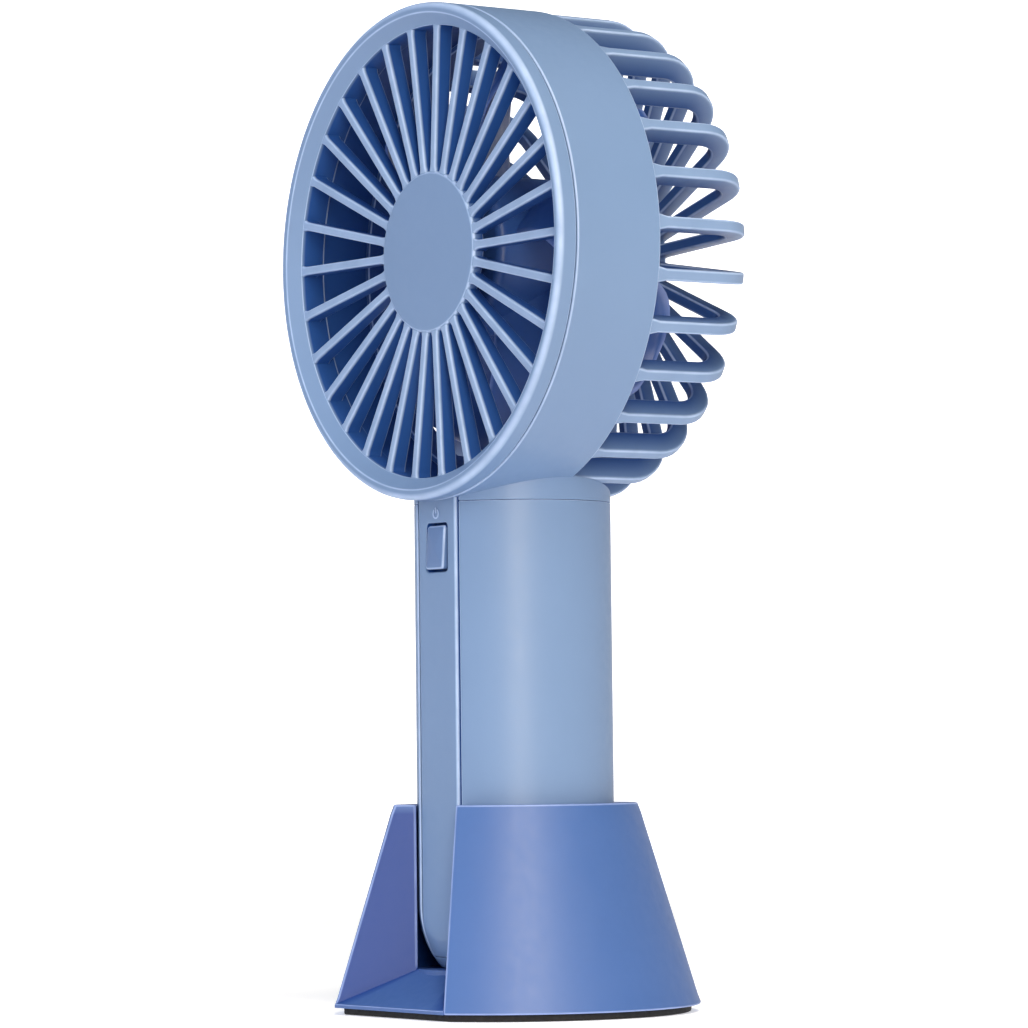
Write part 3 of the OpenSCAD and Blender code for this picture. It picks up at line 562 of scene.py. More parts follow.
def make_front_grille():
    skirt_r = head_r - 2.4
    flange_y = drum_front_y - 0.3
    face_r = head_r - 2.2
    opening_y = lip_y + 2.7
    wall_start_y = opening_y + 0.9
    ring = Part()
    ring.turn([(skirt_r, skirt_back_y, 0.3), (skirt_r, flange_y, 0), (head_r, flange_y, 0.4),
               (head_r, lip_y, 1.3), (face_r, lip_y + 0.3, 0.8), (OPENING_R, opening_y, 0.35),
               (OPENING_R, wall_start_y, 0), (OPENING_R, skirt_back_y, 0.3)])
    crown_h = 0.35
    crown = [(r, DISC_Y - crown_h * (1 - (r / DISC_R) ** 2), 0)
             for r in np.linspace(1, DISC_R - 1.5, 7)]
    ring.turn_solid(crown + [(DISC_R, DISC_Y, 0.7), (DISC_R, DISC_BACK_Y, 0.5),
                             (1, DISC_BACK_Y, 0)])
    inner_r, outer_r = DISC_R - 0.9, OPENING_R + 0.5
    sunk = 0.2
    radii = np.concatenate([np.linspace(inner_r, DISC_R + 1.6, 7),
                            np.linspace(DISC_R + 3, OPENING_R - 3, 12),
                            np.linspace(OPENING_R - 1.4, outer_r, 7)])
    share = (radii - inner_r) / (outer_r - inner_r)

    def face_y(share):
        """The bars' faces slope from just under the disc's face to the edge of the opening."""
        return DISC_Y + sunk + (opening_y - DISC_Y - sunk) * share

    front = np.stack([radii, face_y(share)], axis=1)
    back = np.stack([radii, FRONT_BAR_BACK_Y - 0.2 * share], axis=1)
    half = flared(radii, (DISC_R, OPENING_R), FRONT_BAR_W / 2, 0.35, 1.4)
    bars = Part()
    # The bars' front faces get a painted highlight of strength 0.4.
    for i in range(FRONT_BARS):
        bars.bar(front, back, half, math.radians(i * 360 / FRONT_BARS), 0.42, 0.4)

    # Painted shade on everything more than 0.4 mm behind the bars' faces inside the opening.
    def depth(radius, y, points):
        skin_t = 0.4
        under = y - face_y(np.clip((radius - inner_r) / (outer_r - inner_r), 0, 1))
        return np.clip((under - skin_t) / skin_t, 0, 1) * (radius < OPENING_R + 0.15)

    make(ring, "front_grille_cover", "cover", "head_plastic", "front_grille", joins=[bars],
         depth=depth)


def grip_outline(radius, inner_radius, inset=0.0, edge_round=0.35):
    """Outline of the handle across its length: a circle with the strip's channel in front."""
    edge = strip_half_w + STRIP_GAP + inset
    radius = radius - inset
    start = math.asin(edge / radius)
    angles = np.linspace(start, 2 * math.pi - start, 97)
    front = -(flat_y - inset)
    corners = [(radius * math.sin(a), max(-radius * math.cos(a), front), 0) for a in angles]
    corners[0] = corners[0][:2] + (edge_round,)
    corners[-1] = corners[-1][:2] + (edge_round,)
    floor = -(flat_y - STRIP_T) if inner_radius < radius else front
    for x in np.linspace(-edge, edge, 9) * 0.985:
        y = -math.sqrt(max(inner_radius ** 2 - x ** 2, 0))
        corners.append((x, max(y, floor), 0))
    return rounded(corners)


def at_height(outline, z):
    return np.column_stack([outline, np.full(len(outline), z)])


def make_drum():
    drum = Part()
    inner_r = head_r - DRUM_WALL
    rebate_r = head_r - 2.1
    rebate_y = drum_front_y + 4
    drum.turn([(rebate_r, drum_front_y, 0.2), (head_r, drum_front_y, 0.45),
               (head_r, DRUM_REAR_Y, 0.55), (inner_r, DRUM_REAR_Y, 0.4),
               (inner_r, rebate_y, 0.25), (rebate_r, rebate_y, 0)])
    neck_z = handle_top_z + SEAM
    channel_r = handle_r - STRIP_T

    def under_head(x, y):
        """Height of the neck's top: inside the drum's wall in front, clear of the bars behind."""
        in_wall_r, under_bars_r = head_r - 2, head_r - 0.2
        blend = np.clip((y + 0.5) / 1.5, 0, 1)
        radius = in_wall_r * (1 - blend) + under_bars_r * blend
        return axis_z - np.sqrt(radius ** 2 - x ** 2)

    rings, wear_and_sheen_rows = [], []
    for inset, rise in SEAM_EDGE:
        outline, wear_and_sheen = grip_outline(handle_r, channel_r, inset)
        rings.append(at_height(outline, neck_z + rise))
        # The seam edge round the neck is painted as a full edge highlight.
        wear_and_sheen_rows.append(wear_and_sheen if rise else np.ones(len(wear_and_sheen)))
    outline, wear_and_sheen = grip_outline(handle_r, channel_r)
    for scale in np.linspace(1, 0.06, 24):
        flat = outline * scale
        rings.append(np.column_stack([flat, under_head(flat[:, 0], flat[:, 1])]))
        wear_and_sheen_rows.append(wear_and_sheen if scale == 1 else np.zeros(len(wear_and_sheen)))
    neck = Part()
    neck.skin(rings, np.array(wear_and_sheen_rows))
    plug_r = handle_r - HANDLE_WALL - 0.2
    plug_front = -(flat_y - STRIP_T - 2.1)
    plug_z = neck_z - 3.9
    rings = []
    for radius, z in ((plug_r - 0.3, plug_z), (plug_r, plug_z + 0.3), (plug_r, neck_z + 0.3),
                      (plug_r - 1, neck_z + 0.3)):
        flat = CIRCLE * radius
        flat[:, 1] = np.maximum(flat[:, 1], plug_front)
        rings.append(at_height(flat, z))
    plug = Part()
    plug.skin(rings)
    hole = CIRCLE[::4] * LEAD_HOLE_R + np.array(LEAD_HOLE)
    lead_hole = Part()
    lead_hole.skin([at_height(hole, z) for z in (neck_z - 6, neck_z + 7)])

    # Painted shade on the drum's inner wall.
    def depth(radius, y, points):
        return ((radius < inner_r + 0.5) & (y < DRUM_REAR_Y - 0.2)).astype(float)

    make(drum, "head_drum", "fan", "head_plastic", "drum_housing", joins=[neck, plug],
         cuts=[lead_hole], depth=depth)


def cage_curve(radius, back_y, hub_y, corner_r, start_y):
    """Points of (radius, y) from the drum back along a bar, round its corner and in to the hub."""
    straight = [(radius, y) for y in np.linspace(start_y, back_y - corner_r, 8)]
    angles = np.linspace(0, math.pi / 2, 11)[1:]
    bend = [(radius - corner_r + corner_r * math.cos(a), back_y - corner_r + corner_r * math.sin(a))
            for a in angles]
    end_r = HUB_R - 0.8
    inward = [(r, back_y + (hub_y - back_y) * (radius - corner_r - r) / (radius - corner_r - end_r))
              for r in np.linspace(radius - corner_r, end_r, 14)[1:]]
    return straight + bend + inward


def make_rear_guard():
    cage_r = head_r - 0.3
    inner_r = cage_r - REAR_BAR_DEPTH
    face_rise = 0.8
    back_y = guard_back_y - face_rise
    hub_front_y = back_y - BACK_BAR_T + 0.2
    ring_r = head_r - DRUM_WALL - 0.1
    ring_back_y = DRUM_REAR_Y + 0.6
    guard = Part()
    guard.turn([(inner_r, GUARD_FRONT_Y, 0.35), (ring_r, GUARD_FRONT_Y, 0.35),
                (ring_r, ring_back_y, 0.25), (inner_r, ring_back_y, 0.25)])
    hub = Part()
    hub.turn([(CUP_IN_R, guard_back_y, 0.3), (HUB_R, guard_back_y, 0.9), (HUB_R, hub_front_y, 0.6),
              (CUP_R, hub_front_y, 0.6), (CUP_R, CUP_FRONT_Y, 0.5), (CUP_HOLE_R, CUP_FRONT_Y, 0.2),
              (CUP_HOLE_R, CUP_FLOOR_Y, 0.2), (CUP_IN_R, CUP_FLOOR_Y, 0.4)], 144)
    start_y = DRUM_REAR_Y - 0.2
    dish = 0.6
    outer = cage_curve(cage_r, back_y, back_y + dish, CAGE_CORNER_R, start_y)
    inner_y = back_y - BACK_BAR_T
    inner = cage_curve(inner_r, inner_y, inner_y + dish, CAGE_INNER_CORNER_R, start_y)
    half = []
    flare_len = 1.6
    for radius, y in outer:
        on_drum = radius > cage_r - 0.01
        at_drum = max(0.0, 1 - (y - DRUM_REAR_Y) / flare_len) if on_drum else 0.0
        at_hub = min(max(0.0, 1 - (radius - HUB_R) / flare_len), 1)
        half.append(REAR_BAR_W / 2 + 0.4 * at_drum ** 2 + 0.2 * at_hub ** 2)
    bars = Part()
    for i in range(REAR_BARS):
        # The bars' outer faces get a faint painted highlight of strength 0.15.
        bars.bar(outer, inner, half, math.radians(REAR_PHASE + i * 360 / REAR_BARS), 0.5, 0.15)

    def depth(radius, y, points):
        """Painted shade that grows quickly just under the bars' outer faces and slowly from there
        inward.
        """
        corner = CAGE_CORNER_R - np.hypot(radius - cage_r + CAGE_CORNER_R,
                                          y - back_y + CAGE_CORNER_R)
        bent = (radius > cage_r - CAGE_CORNER_R) & (y > back_y - CAGE_CORNER_R)
        under = np.where(bent, corner, np.minimum(cage_r - radius, back_y + face_rise - y))
        skin_t = 0.85
        return (0.3 * np.clip((under - skin_t + 0.3) / 0.3, 0, 1)
                + 0.6 * np.clip((under - skin_t) / 3.5, 0, 1))

    make(guard, "rear_cage", "fan", "head_plastic", "rear_guard", joins=[bars, hub], depth=depth)


def make_hub_cap():
    """A disc with a round groove in its face."""
    bore = 0.8
    rim = cap_hi[0]
    face_y = cap_hi[1]
    groove_in, groove_out = rim - 2.3, rim - 1.7
    groove_y = face_y - 0.75
    cap = Part()
    cap.turn_solid([(bore, face_y, 0), (3.0, face_y - 0.03, 0),
                    (groove_in - 0.3, face_y - 0.3, 0.3), (groove_in, groove_y, 0.2),
                    (groove_out, groove_y, 0.2), (groove_out + 0.3, face_y - 0.45, 0.3),
                    (rim, face_y - 0.8, 0.4), (rim, cap_lo[1], 0.3), (bore, cap_lo[1], 0)])
    make(cap, "rear_centre_cap", "fan", "head_plastic", "rear_hub_cap")


# ---- Rotor ----


def blade_middle(u, v):
    """Middle of a blade: u is 0 at the root and 1 at the tip, v is -1 behind and 1 in front."""
    sweep = 22
    camber = 2
    chord = 27 * (1 + 0.25 * u) * (1 - 0.55 * u ** 7)
    depth = (10 + 7.5 * u) * (1 - 0.6 * u ** 6)
    radius = BLADE_ROOT_R + (BLADE_TIP_R - BLADE_ROOT_R) * u
    angle = np.radians(sweep * u * u + chord * v)
    y = 0.5 + 1.5 * u - depth * v - camber * (1 - v * v)
    return np.stack([radius * np.cos(angle), y, -radius * np.sin(angle)], axis=-1)


def make_fan_blades():
    across = 28
    along = 20
    inset = 0.012
    step = 0.01
    tip_start = 0.97
    root_end = 0.07
    turn = np.concatenate([np.linspace(-1, 1, across), np.linspace(1, -1, across)])
    side = np.concatenate([np.ones(across), -np.ones(across)])
    edge = np.clip((1 - np.abs(turn)) / 0.07, 0, 1)
    thick = np.sqrt(1 - (1 - edge) ** 2) * (1 - 2 * inset) + 2 * inset
    blades = Part()
    spans = np.concatenate([np.linspace(-0.02, 0.94, along), [0.97, 0.985, 0.995, 1.0]])
    rings, wear_and_sheen_rows = [], []
    for u in spans:
        here = np.full_like(turn, np.clip(u, step, tip_start))
        outward = blade_middle(here + step, turn) - blade_middle(here - step, turn)
        forward = (blade_middle(here, np.minimum(turn + step, 1))
                   - blade_middle(here, np.maximum(turn - step, -1)))
        normal = np.cross(outward, forward)
        normal /= np.linalg.norm(normal, axis=1)[:, None]
        tip = math.sqrt(max(0.02, 1 - max(0.0, (u - tip_start) / (1 - tip_start)) ** 2))
        root = 1 + 0.9 * max(0.0, 1 - u / root_end) ** 2
        half = BLADE_T / 2 * root * tip
        middle = blade_middle(np.full_like(turn, u), turn)
        rings.append(middle + normal * (side * thick * half)[:, None])
        # Painted edge highlight along the blades' edges and tips.
        wear_and_sheen_rows.append(np.clip(1 - edge + (u > tip_start), 0, 1))
    rings = np.array(rings)
    for i in range(BLADES):
        angle = math.radians(BLADE_PHASE + i * 360 / BLADES)
        x = rings[..., 0] * math.cos(angle) - rings[..., 2] * math.sin(angle)
        z = rings[..., 0] * math.sin(angle) + rings[..., 2] * math.cos(angle)
        blades.skin(np.stack([x, rings[..., 1], z + axis_z], axis=-1), np.array(wear_and_sheen_rows))
    in_r = HUB_R - ROTOR_WALL
    in_y = rotor_front_y + 1.8
    bore = 1
    hub = Part()
    hub.turn([(bore, rotor_front_y, 0.1), (HUB_R, rotor_front_y, 2), (HUB_R, ROTOR_BACK_Y, 0.4),
              (in_r, ROTOR_BACK_Y, 0.4), (in_r, in_y, 0.8), (BOSS_R, in_y, 0.3),
              (BOSS_R, BOSS_BACK_Y, 0.3), (bore, BOSS_BACK_Y, 0.1)], 144)
    make(hub, "blade_rotor", "rotor", "blade_plastic", "fan_blades", joins=[blades])


# ---- Handle ----


def dome_radius(radius, z):
    """Radius of the handle's round end, or of its bore, at a height."""
    return math.sqrt(max(radius ** 2 - max(DOME_Z - z, 0) ** 2, 0.01))


def slot_prism(width, height, corner, levels, centre_z):
    """A rounded rectangle in the XZ plane, swept along Y through (y, growth) levels."""
    prism = Part()
    rings = []
    for y, grow in levels:
        half_w, half_h = width / 2 + grow, height / 2 + grow
        outline, _ = rounded([(-half_w, -half_h, corner + grow), (half_w, -half_h, corner + grow),
                              (half_w, half_h, corner + grow), (-half_w, half_h, corner + grow)],
                             steps=6)
        rings.append(np.column_stack([outline[:, 0], np.full(len(outline), y),
                                      outline[:, 1] + centre_z]))
    prism.skin(rings)
    return prism


def make_handle_shell():
    channel_r = handle_r - STRIP_T
    ledge_z = handle_bottom_z + STRIP_T
    shell = Part()
    rings, wear_and_sheen_rows = [], []

    def level(z, inset=0.0, channel=True, radius=None, bright=False):
        radius = dome_radius(handle_r, z) if radius is None else radius
        inner = dome_radius(channel_r, z) if channel else radius
        outline, wear_and_sheen = grip_outline(radius, inner, inset, 0.35 if channel else 0.02)
        rings.append(at_height(outline, z))
        wear_and_sheen_rows.append(np.ones(len(wear_and_sheen)) if bright else wear_and_sheen * channel)

    foot = dome_radius(handle_r, handle_bottom_z)
    level(handle_bottom_z, 1.0, channel=False, radius=foot)
    level(handle_bottom_z + 0.12, 0.35, channel=False, radius=foot)
    for z in np.linspace(handle_bottom_z + 0.5, ledge_z, 5):
        level(z, channel=False)
    level(ledge_z)
    for angle in np.linspace(math.acos((DOME_Z - ledge_z) / handle_r), math.pi / 2, 16)[1:]:
        level(DOME_Z - handle_r * math.cos(angle))
    for z in np.linspace(DOME_Z + 6, handle_top_z - 1, 12):
        level(z)
    rim_z = handle_top_z + SEAM - 0.05
    for inset, drop in reversed(SEAM_EDGE):
        # The rim at the seam is painted as a full edge highlight.
        level(rim_z - drop, inset, bright=inset > 0)
    bore_r = handle_r - HANDLE_WALL
    bore_front = -(flat_y - STRIP_T - 1.8)
    bore_floor_z = 12.4
    for z in (rim_z, handle_top_z - 4, 60, DOME_Z, 18, 14, bore_floor_z):
        outline, _ = grip_outline(handle_r, channel_r)
        inside = outline * (dome_radius(bore_r, z) / np.linalg.norm(outline, axis=1))[:, None]
        inside[:, 1] = np.maximum(inside[:, 1], bore_front)
        rings.append(at_height(inside, z))
        wear_and_sheen_rows.append(np.zeros(len(outline)))
    shell.skin(rings, np.array(wear_and_sheen_rows))
    wall_y = handle_r - HANDLE_WALL - 1
    past_y = handle_r + 0.1
    port = slot_prism(3.8, 9.8, 1.8, [(wall_y, 0), (handle_r - 0.6, 0), (handle_r - 0.4, 0.04),
                                      (handle_r - 0.2, 0.16), (past_y, 0.5)], port_z)
    lamp = slot_prism(2.2, 2.2, 1.08, [(wall_y, 0), (handle_r - 0.3, 0), (past_y, 0.3)], LAMP_Z)
    window = slot_prism(BUTTON_W + 3, BUTTON_H + 2.2, 0.6, [(-18.5, 0), (-15, 0)], button_z)
    make(shell, "handle_tube", "fan", "head_plastic", "handle_shell", cuts=[port, lamp, window])


def power_mark(face_y):
    """A small raised ring, open at its top, with a short upright stroke in the opening."""
    mark = Part()
    centre_z = button_z + 7.1
    proud = 0.22
    sunk = 0.3
    half_line = 0.17
    ring_r = 0.95

    def stroke(path):
        rings = []
        for x, z, nx, nz in path:
            inner = (x - nx * half_line, z - nz * half_line)
            outer = (x + nx * half_line, z + nz * half_line)
            rings.append([(inner[0], face_y + sunk, inner[1]), (outer[0], face_y + sunk, outer[1]),
                          (outer[0], face_y - proud, outer[1]),
                          (inner[0], face_y - proud, inner[1])])
        mark.skin(rings, 0.9)

    turn = [math.radians(a) for a in np.linspace(125, 415, 28)]
    stroke([(ring_r * math.cos(a), centre_z + ring_r * math.sin(a), math.cos(a), math.sin(a))
            for a in turn])
    stroke([(0, centre_z + z, 1, 0) for z in (0.1, 0.7, 1.3)])
    return mark


def make_front_strip():
    foot_z = handle_bottom_z + STRIP_T + 0.1
    back_r = handle_r - STRIP_T + 0.05
    edge_round, back_round = 0.7, 0.15
    rings, wear_and_sheen_rows = [], []

    def level(z, inset=0.0):
        outer = dome_radius(handle_r, z) - inset
        inner = dome_radius(back_r, z)
        half = strip_half_w - inset
        front_y = -(flat_y - inset)
        edge_y = max(front_y, -math.sqrt(outer ** 2 - half ** 2))
        back_y = max(-(flat_y - STRIP_T + 0.05), -math.sqrt(inner ** 2 - half ** 2))
        corners = [(half, back_y, back_round), (half, edge_y, edge_round)]
        for x in np.linspace(half - 1.6, -half + 1.6, 9):
            corners.append((x, max(front_y, -math.sqrt(outer ** 2 - x ** 2)), 0))
        corners += [(-half, edge_y, edge_round), (-half, back_y, back_round)]
        outline, wear_and_sheen = rounded(corners)
        rings.append(at_height(outline, z))
        wear_and_sheen_rows.append(wear_and_sheen if inset == 0 else np.ones(len(wear_and_sheen)))

    # The rounded foot edge is painted as a full edge highlight.
    level(foot_z, 0.25)
    level(foot_z + 0.07, 0.07)
    for angle in np.linspace(math.acos((DOME_Z - foot_z - 0.25) / handle_r), math.pi / 2, 18):
        level(DOME_Z - handle_r * math.cos(angle))
    for z in np.linspace(DOME_Z + 5, handle_top_z, 16):
        level(z)
    level(handle_top_z)
    rings[-1][:, 2] = axis_z - np.sqrt(head_r ** 2 - rings[-1][:, 0] ** 2) - 0.03
    strip = Part()
    strip.skin(rings, np.array(wear_and_sheen_rows))
    rim = 0.35
    opening = slot_prism(BUTTON_W + 0.8, BUTTON_H + 0.8, 0.9,
                         [(-15, 0), (-flat_y + rim, 0), (-flat_y + rim * 0.5, rim * 0.13),
                          (-flat_y + rim * 0.13, rim * 0.5), (-flat_y - 0.02, rim * 1.05),
                          (-flat_y - 1, rim * 1.05)], button_z)

    # Painted shade on the strip's sides in the groove above the dome and inside the button opening.
    def depth(radius, y, points):
        across = np.abs(points[:, 0])
        in_opening = (across < BUTTON_W / 2 + 0.9) & (np.abs(points[:, 2] - button_z) < 6)
        side = np.clip((y + flat_y - 0.3) / 0.35, 0, 1) * (across > strip_half_w - 0.3)
        return np.maximum(in_opening & (y > -flat_y + rim - 0.02), side * (points[:, 2] > DOME_Z))

    make(strip, "handle_front_strip", "fan", "head_plastic", "front_strip",
         joins=[power_mark(-flat_y)], cuts=[opening], depth=depth)


def make_button():
    """A cap bowed along its length, with the flange that keeps it in and a stem for the switch."""
    bow_r = 22
    peak_z = button_z - 1.6
    proud = 0.9
    corner = 0.6
    edge = 0.45

    def face(z):
        return -(flat_y + proud) + (z - peak_z) ** 2 / (2 * bow_r)

    half_w, half_h = BUTTON_W / 2 - 0.25, BUTTON_H / 2 - 0.15
    outline, _ = rounded([(-half_w, -half_h, corner), (half_w, -half_h, corner),
                          (half_w, half_h, corner), (-half_w, half_h, corner)])
    rings = [np.column_stack([outline[:, 0], np.full(len(outline), BUTTON_BACK_Y),
                              outline[:, 1] + button_z])]
    wear_and_sheen_rows = [0.0]

    def level(shrink_x, shrink_z, depth, wear_and_sheen):
        x = outline[:, 0] * shrink_x
        z = outline[:, 1] * shrink_z
        rings.append(np.column_stack([x, face(z + button_z) + depth, z + button_z]))
        wear_and_sheen_rows.append(wear_and_sheen)

    # The cap's rounded rim gets a painted edge highlight.
    for angle in np.linspace(0, math.pi / 2, 5):
        inset = edge * (1 - math.cos(angle))
        level(1 - inset / half_w, 1 - inset / half_h, edge * (1 - math.sin(angle)),
              math.sin(2 * angle))
    for share in np.linspace(0.8, 0.1, 8):
        level(share * (1 - edge / half_w), share * (1 - edge / half_h), 0, 0.0)
    button = Part()
    button.skin(rings, np.array(wear_and_sheen_rows)[:, None] * np.ones(len(outline)))
    flange = slot_prism(BUTTON_W + 1.9, BUTTON_H + 1.5, 0.5, [(-17.1, 0), (-16.3, 0)], button_z)
    stem = slot_prism(2.8, 2.8, 1.39, [(-16.6, 0), (-13.9, 0)], button_z)

    # Painted shade: the visible cap is shaded at 0.36, and the flange and stem behind the strip
    # fully.
    def depth(radius, y, points):
        return np.where(y > -flat_y + 0.3, 1.0, 0.36)

    make(button, "speed_button_cap", "button", "head_plastic", "speed_button", joins=[flange, stem],
         depth=depth)


# ---- Dock ----


def cone_radius(z):
    return dock_r + (DOCK_TOP_R - dock_r) * (z - dock_z0) / (dock_top_z - dock_z0)


def dock_outline(z, inset=0.0):
    """Outline of the dock's wall at a height: round outside, splayed slot, round socket."""
    cone = cone_radius(z) - inset
    slope = math.hypot(1, SPLAY)
    socket = SOCKET_R + inset
    neck_w = SLOT_HALF_W + inset * slope

    def meet(radius):
        """Where the splay wall, x = neck_w + SPLAY * t at SOCKET_FRONT_Y - t, meets a circle."""
        a = 1 + SPLAY ** 2
        b = 2 * (neck_w * SPLAY - SOCKET_FRONT_Y)
        c = neck_w ** 2 + SOCKET_FRONT_Y ** 2 - radius ** 2
        t = (-b + math.sqrt(b * b - 4 * a * c)) / (2 * a)
        return neck_w + SPLAY * t, SOCKET_FRONT_Y - t

    out_x, out_y = meet(cone)
    in_x, in_y = meet(socket)
    out_a = math.atan2(out_x, -out_y)
    in_a = math.atan2(in_x, -in_y)
    corner = max(0.7 - inset, 0.2)
    corners = [(out_x, out_y, corner)]
    for a in np.linspace(out_a, 2 * math.pi - out_a, 121)[1:-1]:
        corners.append((cone * math.sin(a), -cone * math.cos(a), 0))
    corners += [(-out_x, out_y, corner), (-in_x, in_y, corner * 0.8)]
    for a in np.linspace(2 * math.pi - in_a, in_a, 97)[1:-1]:
        corners.append((socket * math.sin(a), -socket * math.cos(a), 0))
    corners.append((in_x, in_y, corner * 0.8))
    return rounded(corners, steps=4)


def make_dock():
    wall = Part()
    rings, wear_and_sheen_rows = [], []
    rim = 0.45
    # The bottom rim gets a painted edge highlight.
    for angle in np.linspace(0, math.pi / 2, 4):
        outline, wear_and_sheen = dock_outline(dock_z0, rim * (1 - math.sin(angle)))
        rings.append(at_height(outline, dock_z0 + rim * (1 - math.cos(angle))))
        wear_and_sheen_rows.append(np.maximum(wear_and_sheen, math.sin(2 * angle)))
    for z in np.linspace(dock_z0 + 2, dock_top_z - 2, 12):
        outline, wear_and_sheen = dock_outline(z)
        rings.append(at_height(outline, z))
        wear_and_sheen_rows.append(wear_and_sheen)
    # The top rim gets a painted edge highlight.
    for angle in np.linspace(0, math.pi / 2, 5):
        outline, wear_and_sheen = dock_outline(dock_top_z, rim * (1 - math.cos(angle)))
        rings.append(at_height(outline, dock_top_z - rim * (1 - math.sin(angle))))
        wear_and_sheen_rows.append(np.maximum(wear_and_sheen, math.sin(2 * angle)))
    wall.skin(rings, np.array(wear_and_sheen_rows))
    # The apron slopes down from the socket's floor to the front
    lip_z = dock_z0 + 0.75
    overlap = 0.8
    apron_back_y = SOCKET_FRONT_Y + 8
    apron_len = SOCKET_FRONT_Y - apron_y
    inner_w = SLOT_HALF_W + overlap
    foot_w = SLOT_HALF_W + SPLAY * apron_len
    profile, edge = rounded([(apron_back_y, dock_z0, 0), (apron_back_y, SOCKET_FLOOR_Z, 0),
                             (SOCKET_FRONT_Y, SOCKET_FLOOR_Z, 0.4), (apron_y, lip_z, 0.3),
                             (apron_y, dock_z0, 0)])
    forward = np.clip((SOCKET_FRONT_Y - profile[:, 0]) / apron_len, 0, 1)
    half = inner_w + (foot_w - inner_w) * forward
    rings = [np.column_stack([half * side, profile]) for side in np.linspace(-1, 1, 9)]
    apron = Part()
    apron.skin(rings, np.broadcast_to(edge, (len(rings), len(edge))))
    wide, narrow = CIRCLE * (SOCKET_R + 0.6), CIRCLE * (SOCKET_R + 0.2)
    floor = Part()
    floor.skin([at_height(wide, dock_z0), at_height(wide, 5), at_height(narrow, SOCKET_FLOOR_Z)])

    # Painted shade on the splay walls and socket inside the slot, faint on the apron.
    def depth(radius, y, points):
        z = points[:, 2]
        under = cone_radius(z) - np.hypot(points[:, 0], y)
        splay_x = SLOT_HALF_W + SPLAY * np.maximum(SOCKET_FRONT_Y - y, 0)
        share = np.where(np.abs(points[:, 0]) > splay_x - 0.3, 1.0, 0.08)
        in_slot = (z < dock_top_z - 0.6) & (z > dock_z0 + 0.3)
        return share * np.clip((under - 0.2) / 0.3, 0, 1) * in_slot

    make(wall, "dock_moulding", "dock", "dock_plastic", "dock_body", joins=[apron, floor],
         depth=depth)


def flat_front_outline(radius, front_y):
    """A circle cut flat in front, with rounded corners where the flat begins."""
    half = math.sqrt(radius ** 2 - front_y ** 2)
    start = math.atan2(half, -front_y)
    corners = [(half, front_y, 0.8)]
    for a in np.linspace(start, 2 * math.pi - start, 121)[1:-1]:
        corners.append((radius * math.sin(a), -radius * math.cos(a), 0))
    corners.append((-half, front_y, 0.8))
    return rounded(corners)


def make_pad():
    pad = Part()
    rings = []
    edge = 0.35
    top_z, bottom_z = pad_hi[2], pad_lo[2]
    radius, front_y = pad_hi[0], pad_lo[1]
    for inset, z in ((3.0, bottom_z + 0.4), (2.6, bottom_z), (edge, bottom_z),
                     (edge * 0.3, bottom_z + 0.12), (0, bottom_z + edge), (0, top_z - edge),
                     (edge * 0.3, top_z - 0.12), (edge, top_z)):
        outline, _ = flat_front_outline(radius - inset, front_y + inset)
        rings.append(at_height(outline, z))
    pad.skin(rings)
    make(pad, "dock_rubber_pad", "dock", "rubber", "rubber_pad")


# ---- Studio ----


def make_camera():
    """The camera stands to the front right of the handle and looks very slightly up."""
    azimuth = CAMERA_AZIMUTH
    distance = 1.0219
    height = 0.0561
    pitch = math.radians(2.78)
    roll = math.radians(-0.64)
    yaw = math.radians(-0.02)
    ahead_flat = np.array([-math.sin(azimuth + yaw), math.cos(azimuth + yaw), 0])
    ahead = ahead_flat * math.cos(pitch) + np.array([0, 0, math.sin(pitch)])
    right = unit(np.cross(ahead, [0, 0, 1]))
    up = np.cross(right, ahead)
    tilted_right = right * math.cos(roll) + up * math.sin(roll)
    tilted_up = np.cross(tilted_right, ahead)
    data = bpy.data.cameras.new("camera")
    data.lens = 168.2
    data.sensor_width = 36
    data.clip_start = 0.01
    data.clip_end = 20
    camera = bpy.data.objects.new("camera", data)
    place = Matrix.Identity(4)
    for column, axis in enumerate((tilted_right, tilted_up, -ahead)):
        for row in range(3):
            place[row][column] = axis[row]
    place[0][3] = math.sin(azimuth) * distance
    place[1][3] = -math.cos(azimuth) * distance
    place[2][3] = height
    camera.matrix_world = place
    bpy.context.scene.collection.objects.link(camera)
    bpy.context.scene.camera = camera


def make_light(name, azimuth, elevation, distance, size, power, colour):
    """A soft box, of a width and height, aimed at the object from an azimuth round it."""
    target = (0, 0, 0.12)
    a, e = math.radians(azimuth), math.radians(elevation)
    back = np.array([math.sin(a) * math.cos(e), -math.cos(a) * math.cos(e), math.sin(e)])
    data = bpy.data.lights.new(name, "AREA")
    data.shape = "RECTANGLE"
    data.size, data.size_y = size
    data.energy = power
    data.color = colour
    light = bpy.data.objects.new(name, data)
    bpy.context.scene.collection.objects.link(light)
    right = unit(np.cross(-back, [0, 0, 1]))
    up = np.cross(right, -back)
    place = Matrix.Identity(4)
    for column, axis in enumerate((right, up, back)):
        for row in range(3):
            place[row][column] = axis[row]
    for row in range(3):
        place[row][3] = target[row] + back[row] * distance
    light.matrix_world = place


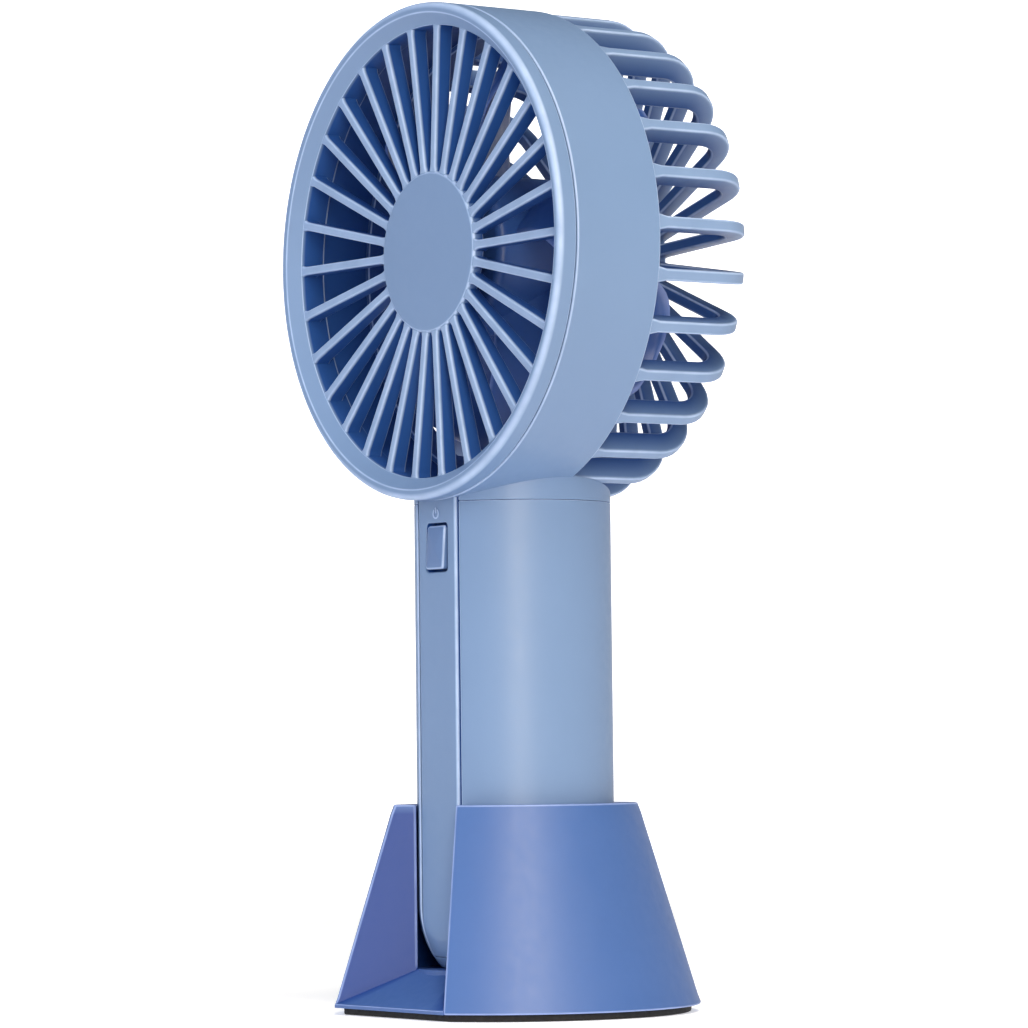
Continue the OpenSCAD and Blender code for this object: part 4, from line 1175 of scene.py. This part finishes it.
def paper_finish():
    """Pale paper with a soft glow: even near the object, brightest far behind it."""
    g = Graph("paper")
    g.connect(Base_Color=g.blend(g.noise(60), srgb(240, 240, 242), srgb(244, 244, 246)))
    g.connect(Roughness=g.spread(g.noise(4), 0.85, 0.95))
    flat = g.vector("MULTIPLY", g.place, (1, 1, 0))
    behind = (-math.sin(CAMERA_AZIMUTH), math.cos(CAMERA_AZIMUTH), 0)
    cosine = g.vector("DOT_PRODUCT", g.vector("NORMALIZE", flat), behind, "Value")
    wall_glow = g.ramp(cosine, 0.9, 0.98, 0.2, 0.9)
    front_glow = g.ramp(cosine, -0.6, -0.1, 0.05, 0.5)
    distance = g.vector("LENGTH", flat, None, "Value")
    floor_glow = g.ramp(distance, 0.1, 0.25, 0.5, front_glow)
    g.connect(Emission_Strength=g.ramp(distance, 0.5, 1.1, floor_glow, wall_glow))
    g.shader.inputs["Emission Color"].default_value = (1, 1, 1, 1)
    return g.material


def make_stage():
    """A pale floor, a hair below the pad, that curves up into a round backdrop."""
    sweep_r = 2.2
    bend = 0.5
    wall_h = 0.75
    gap = 0.00005
    profile = [(0.02, 0.0), (0.6, 0.0), (0.8, 0.0), (1.2, 0.0), (sweep_r - bend, 0.0)]
    for angle in np.linspace(0, math.pi / 2, 10)[1:]:
        profile.append((sweep_r - bend + bend * math.sin(angle), bend - bend * math.cos(angle)))
    profile.append((sweep_r, wall_h))
    steps = 96
    points = [(r * math.cos(a), r * math.sin(a), z - gap)
              for r, z in profile for a in np.arange(steps) * 2 * math.pi / steps]
    faces = []
    for i in range(len(profile) - 1):
        a, b = i * steps, (i + 1) * steps
        for k in range(steps):
            n = (k + 1) % steps
            faces.append((a + k, a + n, b + n, b + k))
    faces.append(list(range(steps))[::-1])
    mesh = bpy.data.meshes.new("backdrop")
    mesh.from_pydata(points, [], faces)
    mesh.shade_smooth()
    mesh.materials.append(paper_finish())
    backdrop = bpy.data.objects.new("backdrop", mesh)
    bpy.context.scene.collection.objects.link(backdrop)


def make_studio():
    make_camera()
    make_stage()
    # Name, azimuth and elevation in degrees, distance and size in metres, watts, colour
    make_light("key", 61, 18, 1.3, (0.28, 1.2), 15.3, (1.0, 0.87, 0.68))
    make_light("fill", -12, 35, 1.4, (0.6, 0.8), 4.5, (0.5, 0.7, 1.0))
    make_light("top", 80, 62, 1.4, (0.7, 0.7), 13, (1.0, 0.9, 0.76))
    world = bpy.data.worlds.new("studio")
    world.use_nodes = True
    background = world.node_tree.nodes["Background"]
    background.inputs["Color"].default_value = (0.75, 0.87, 1, 1)
    background.inputs["Strength"].default_value = 0.08
    bpy.context.scene.world = world
    bpy.context.scene.view_settings.view_transform = "Standard"


dress_cad_nodes()
make_front_grille()
make_drum()
make_rear_guard()
make_hub_cap()
make_fan_blades()
make_handle_shell()
make_front_strip()
make_button()
make_dock()
make_pad()
make_studio()
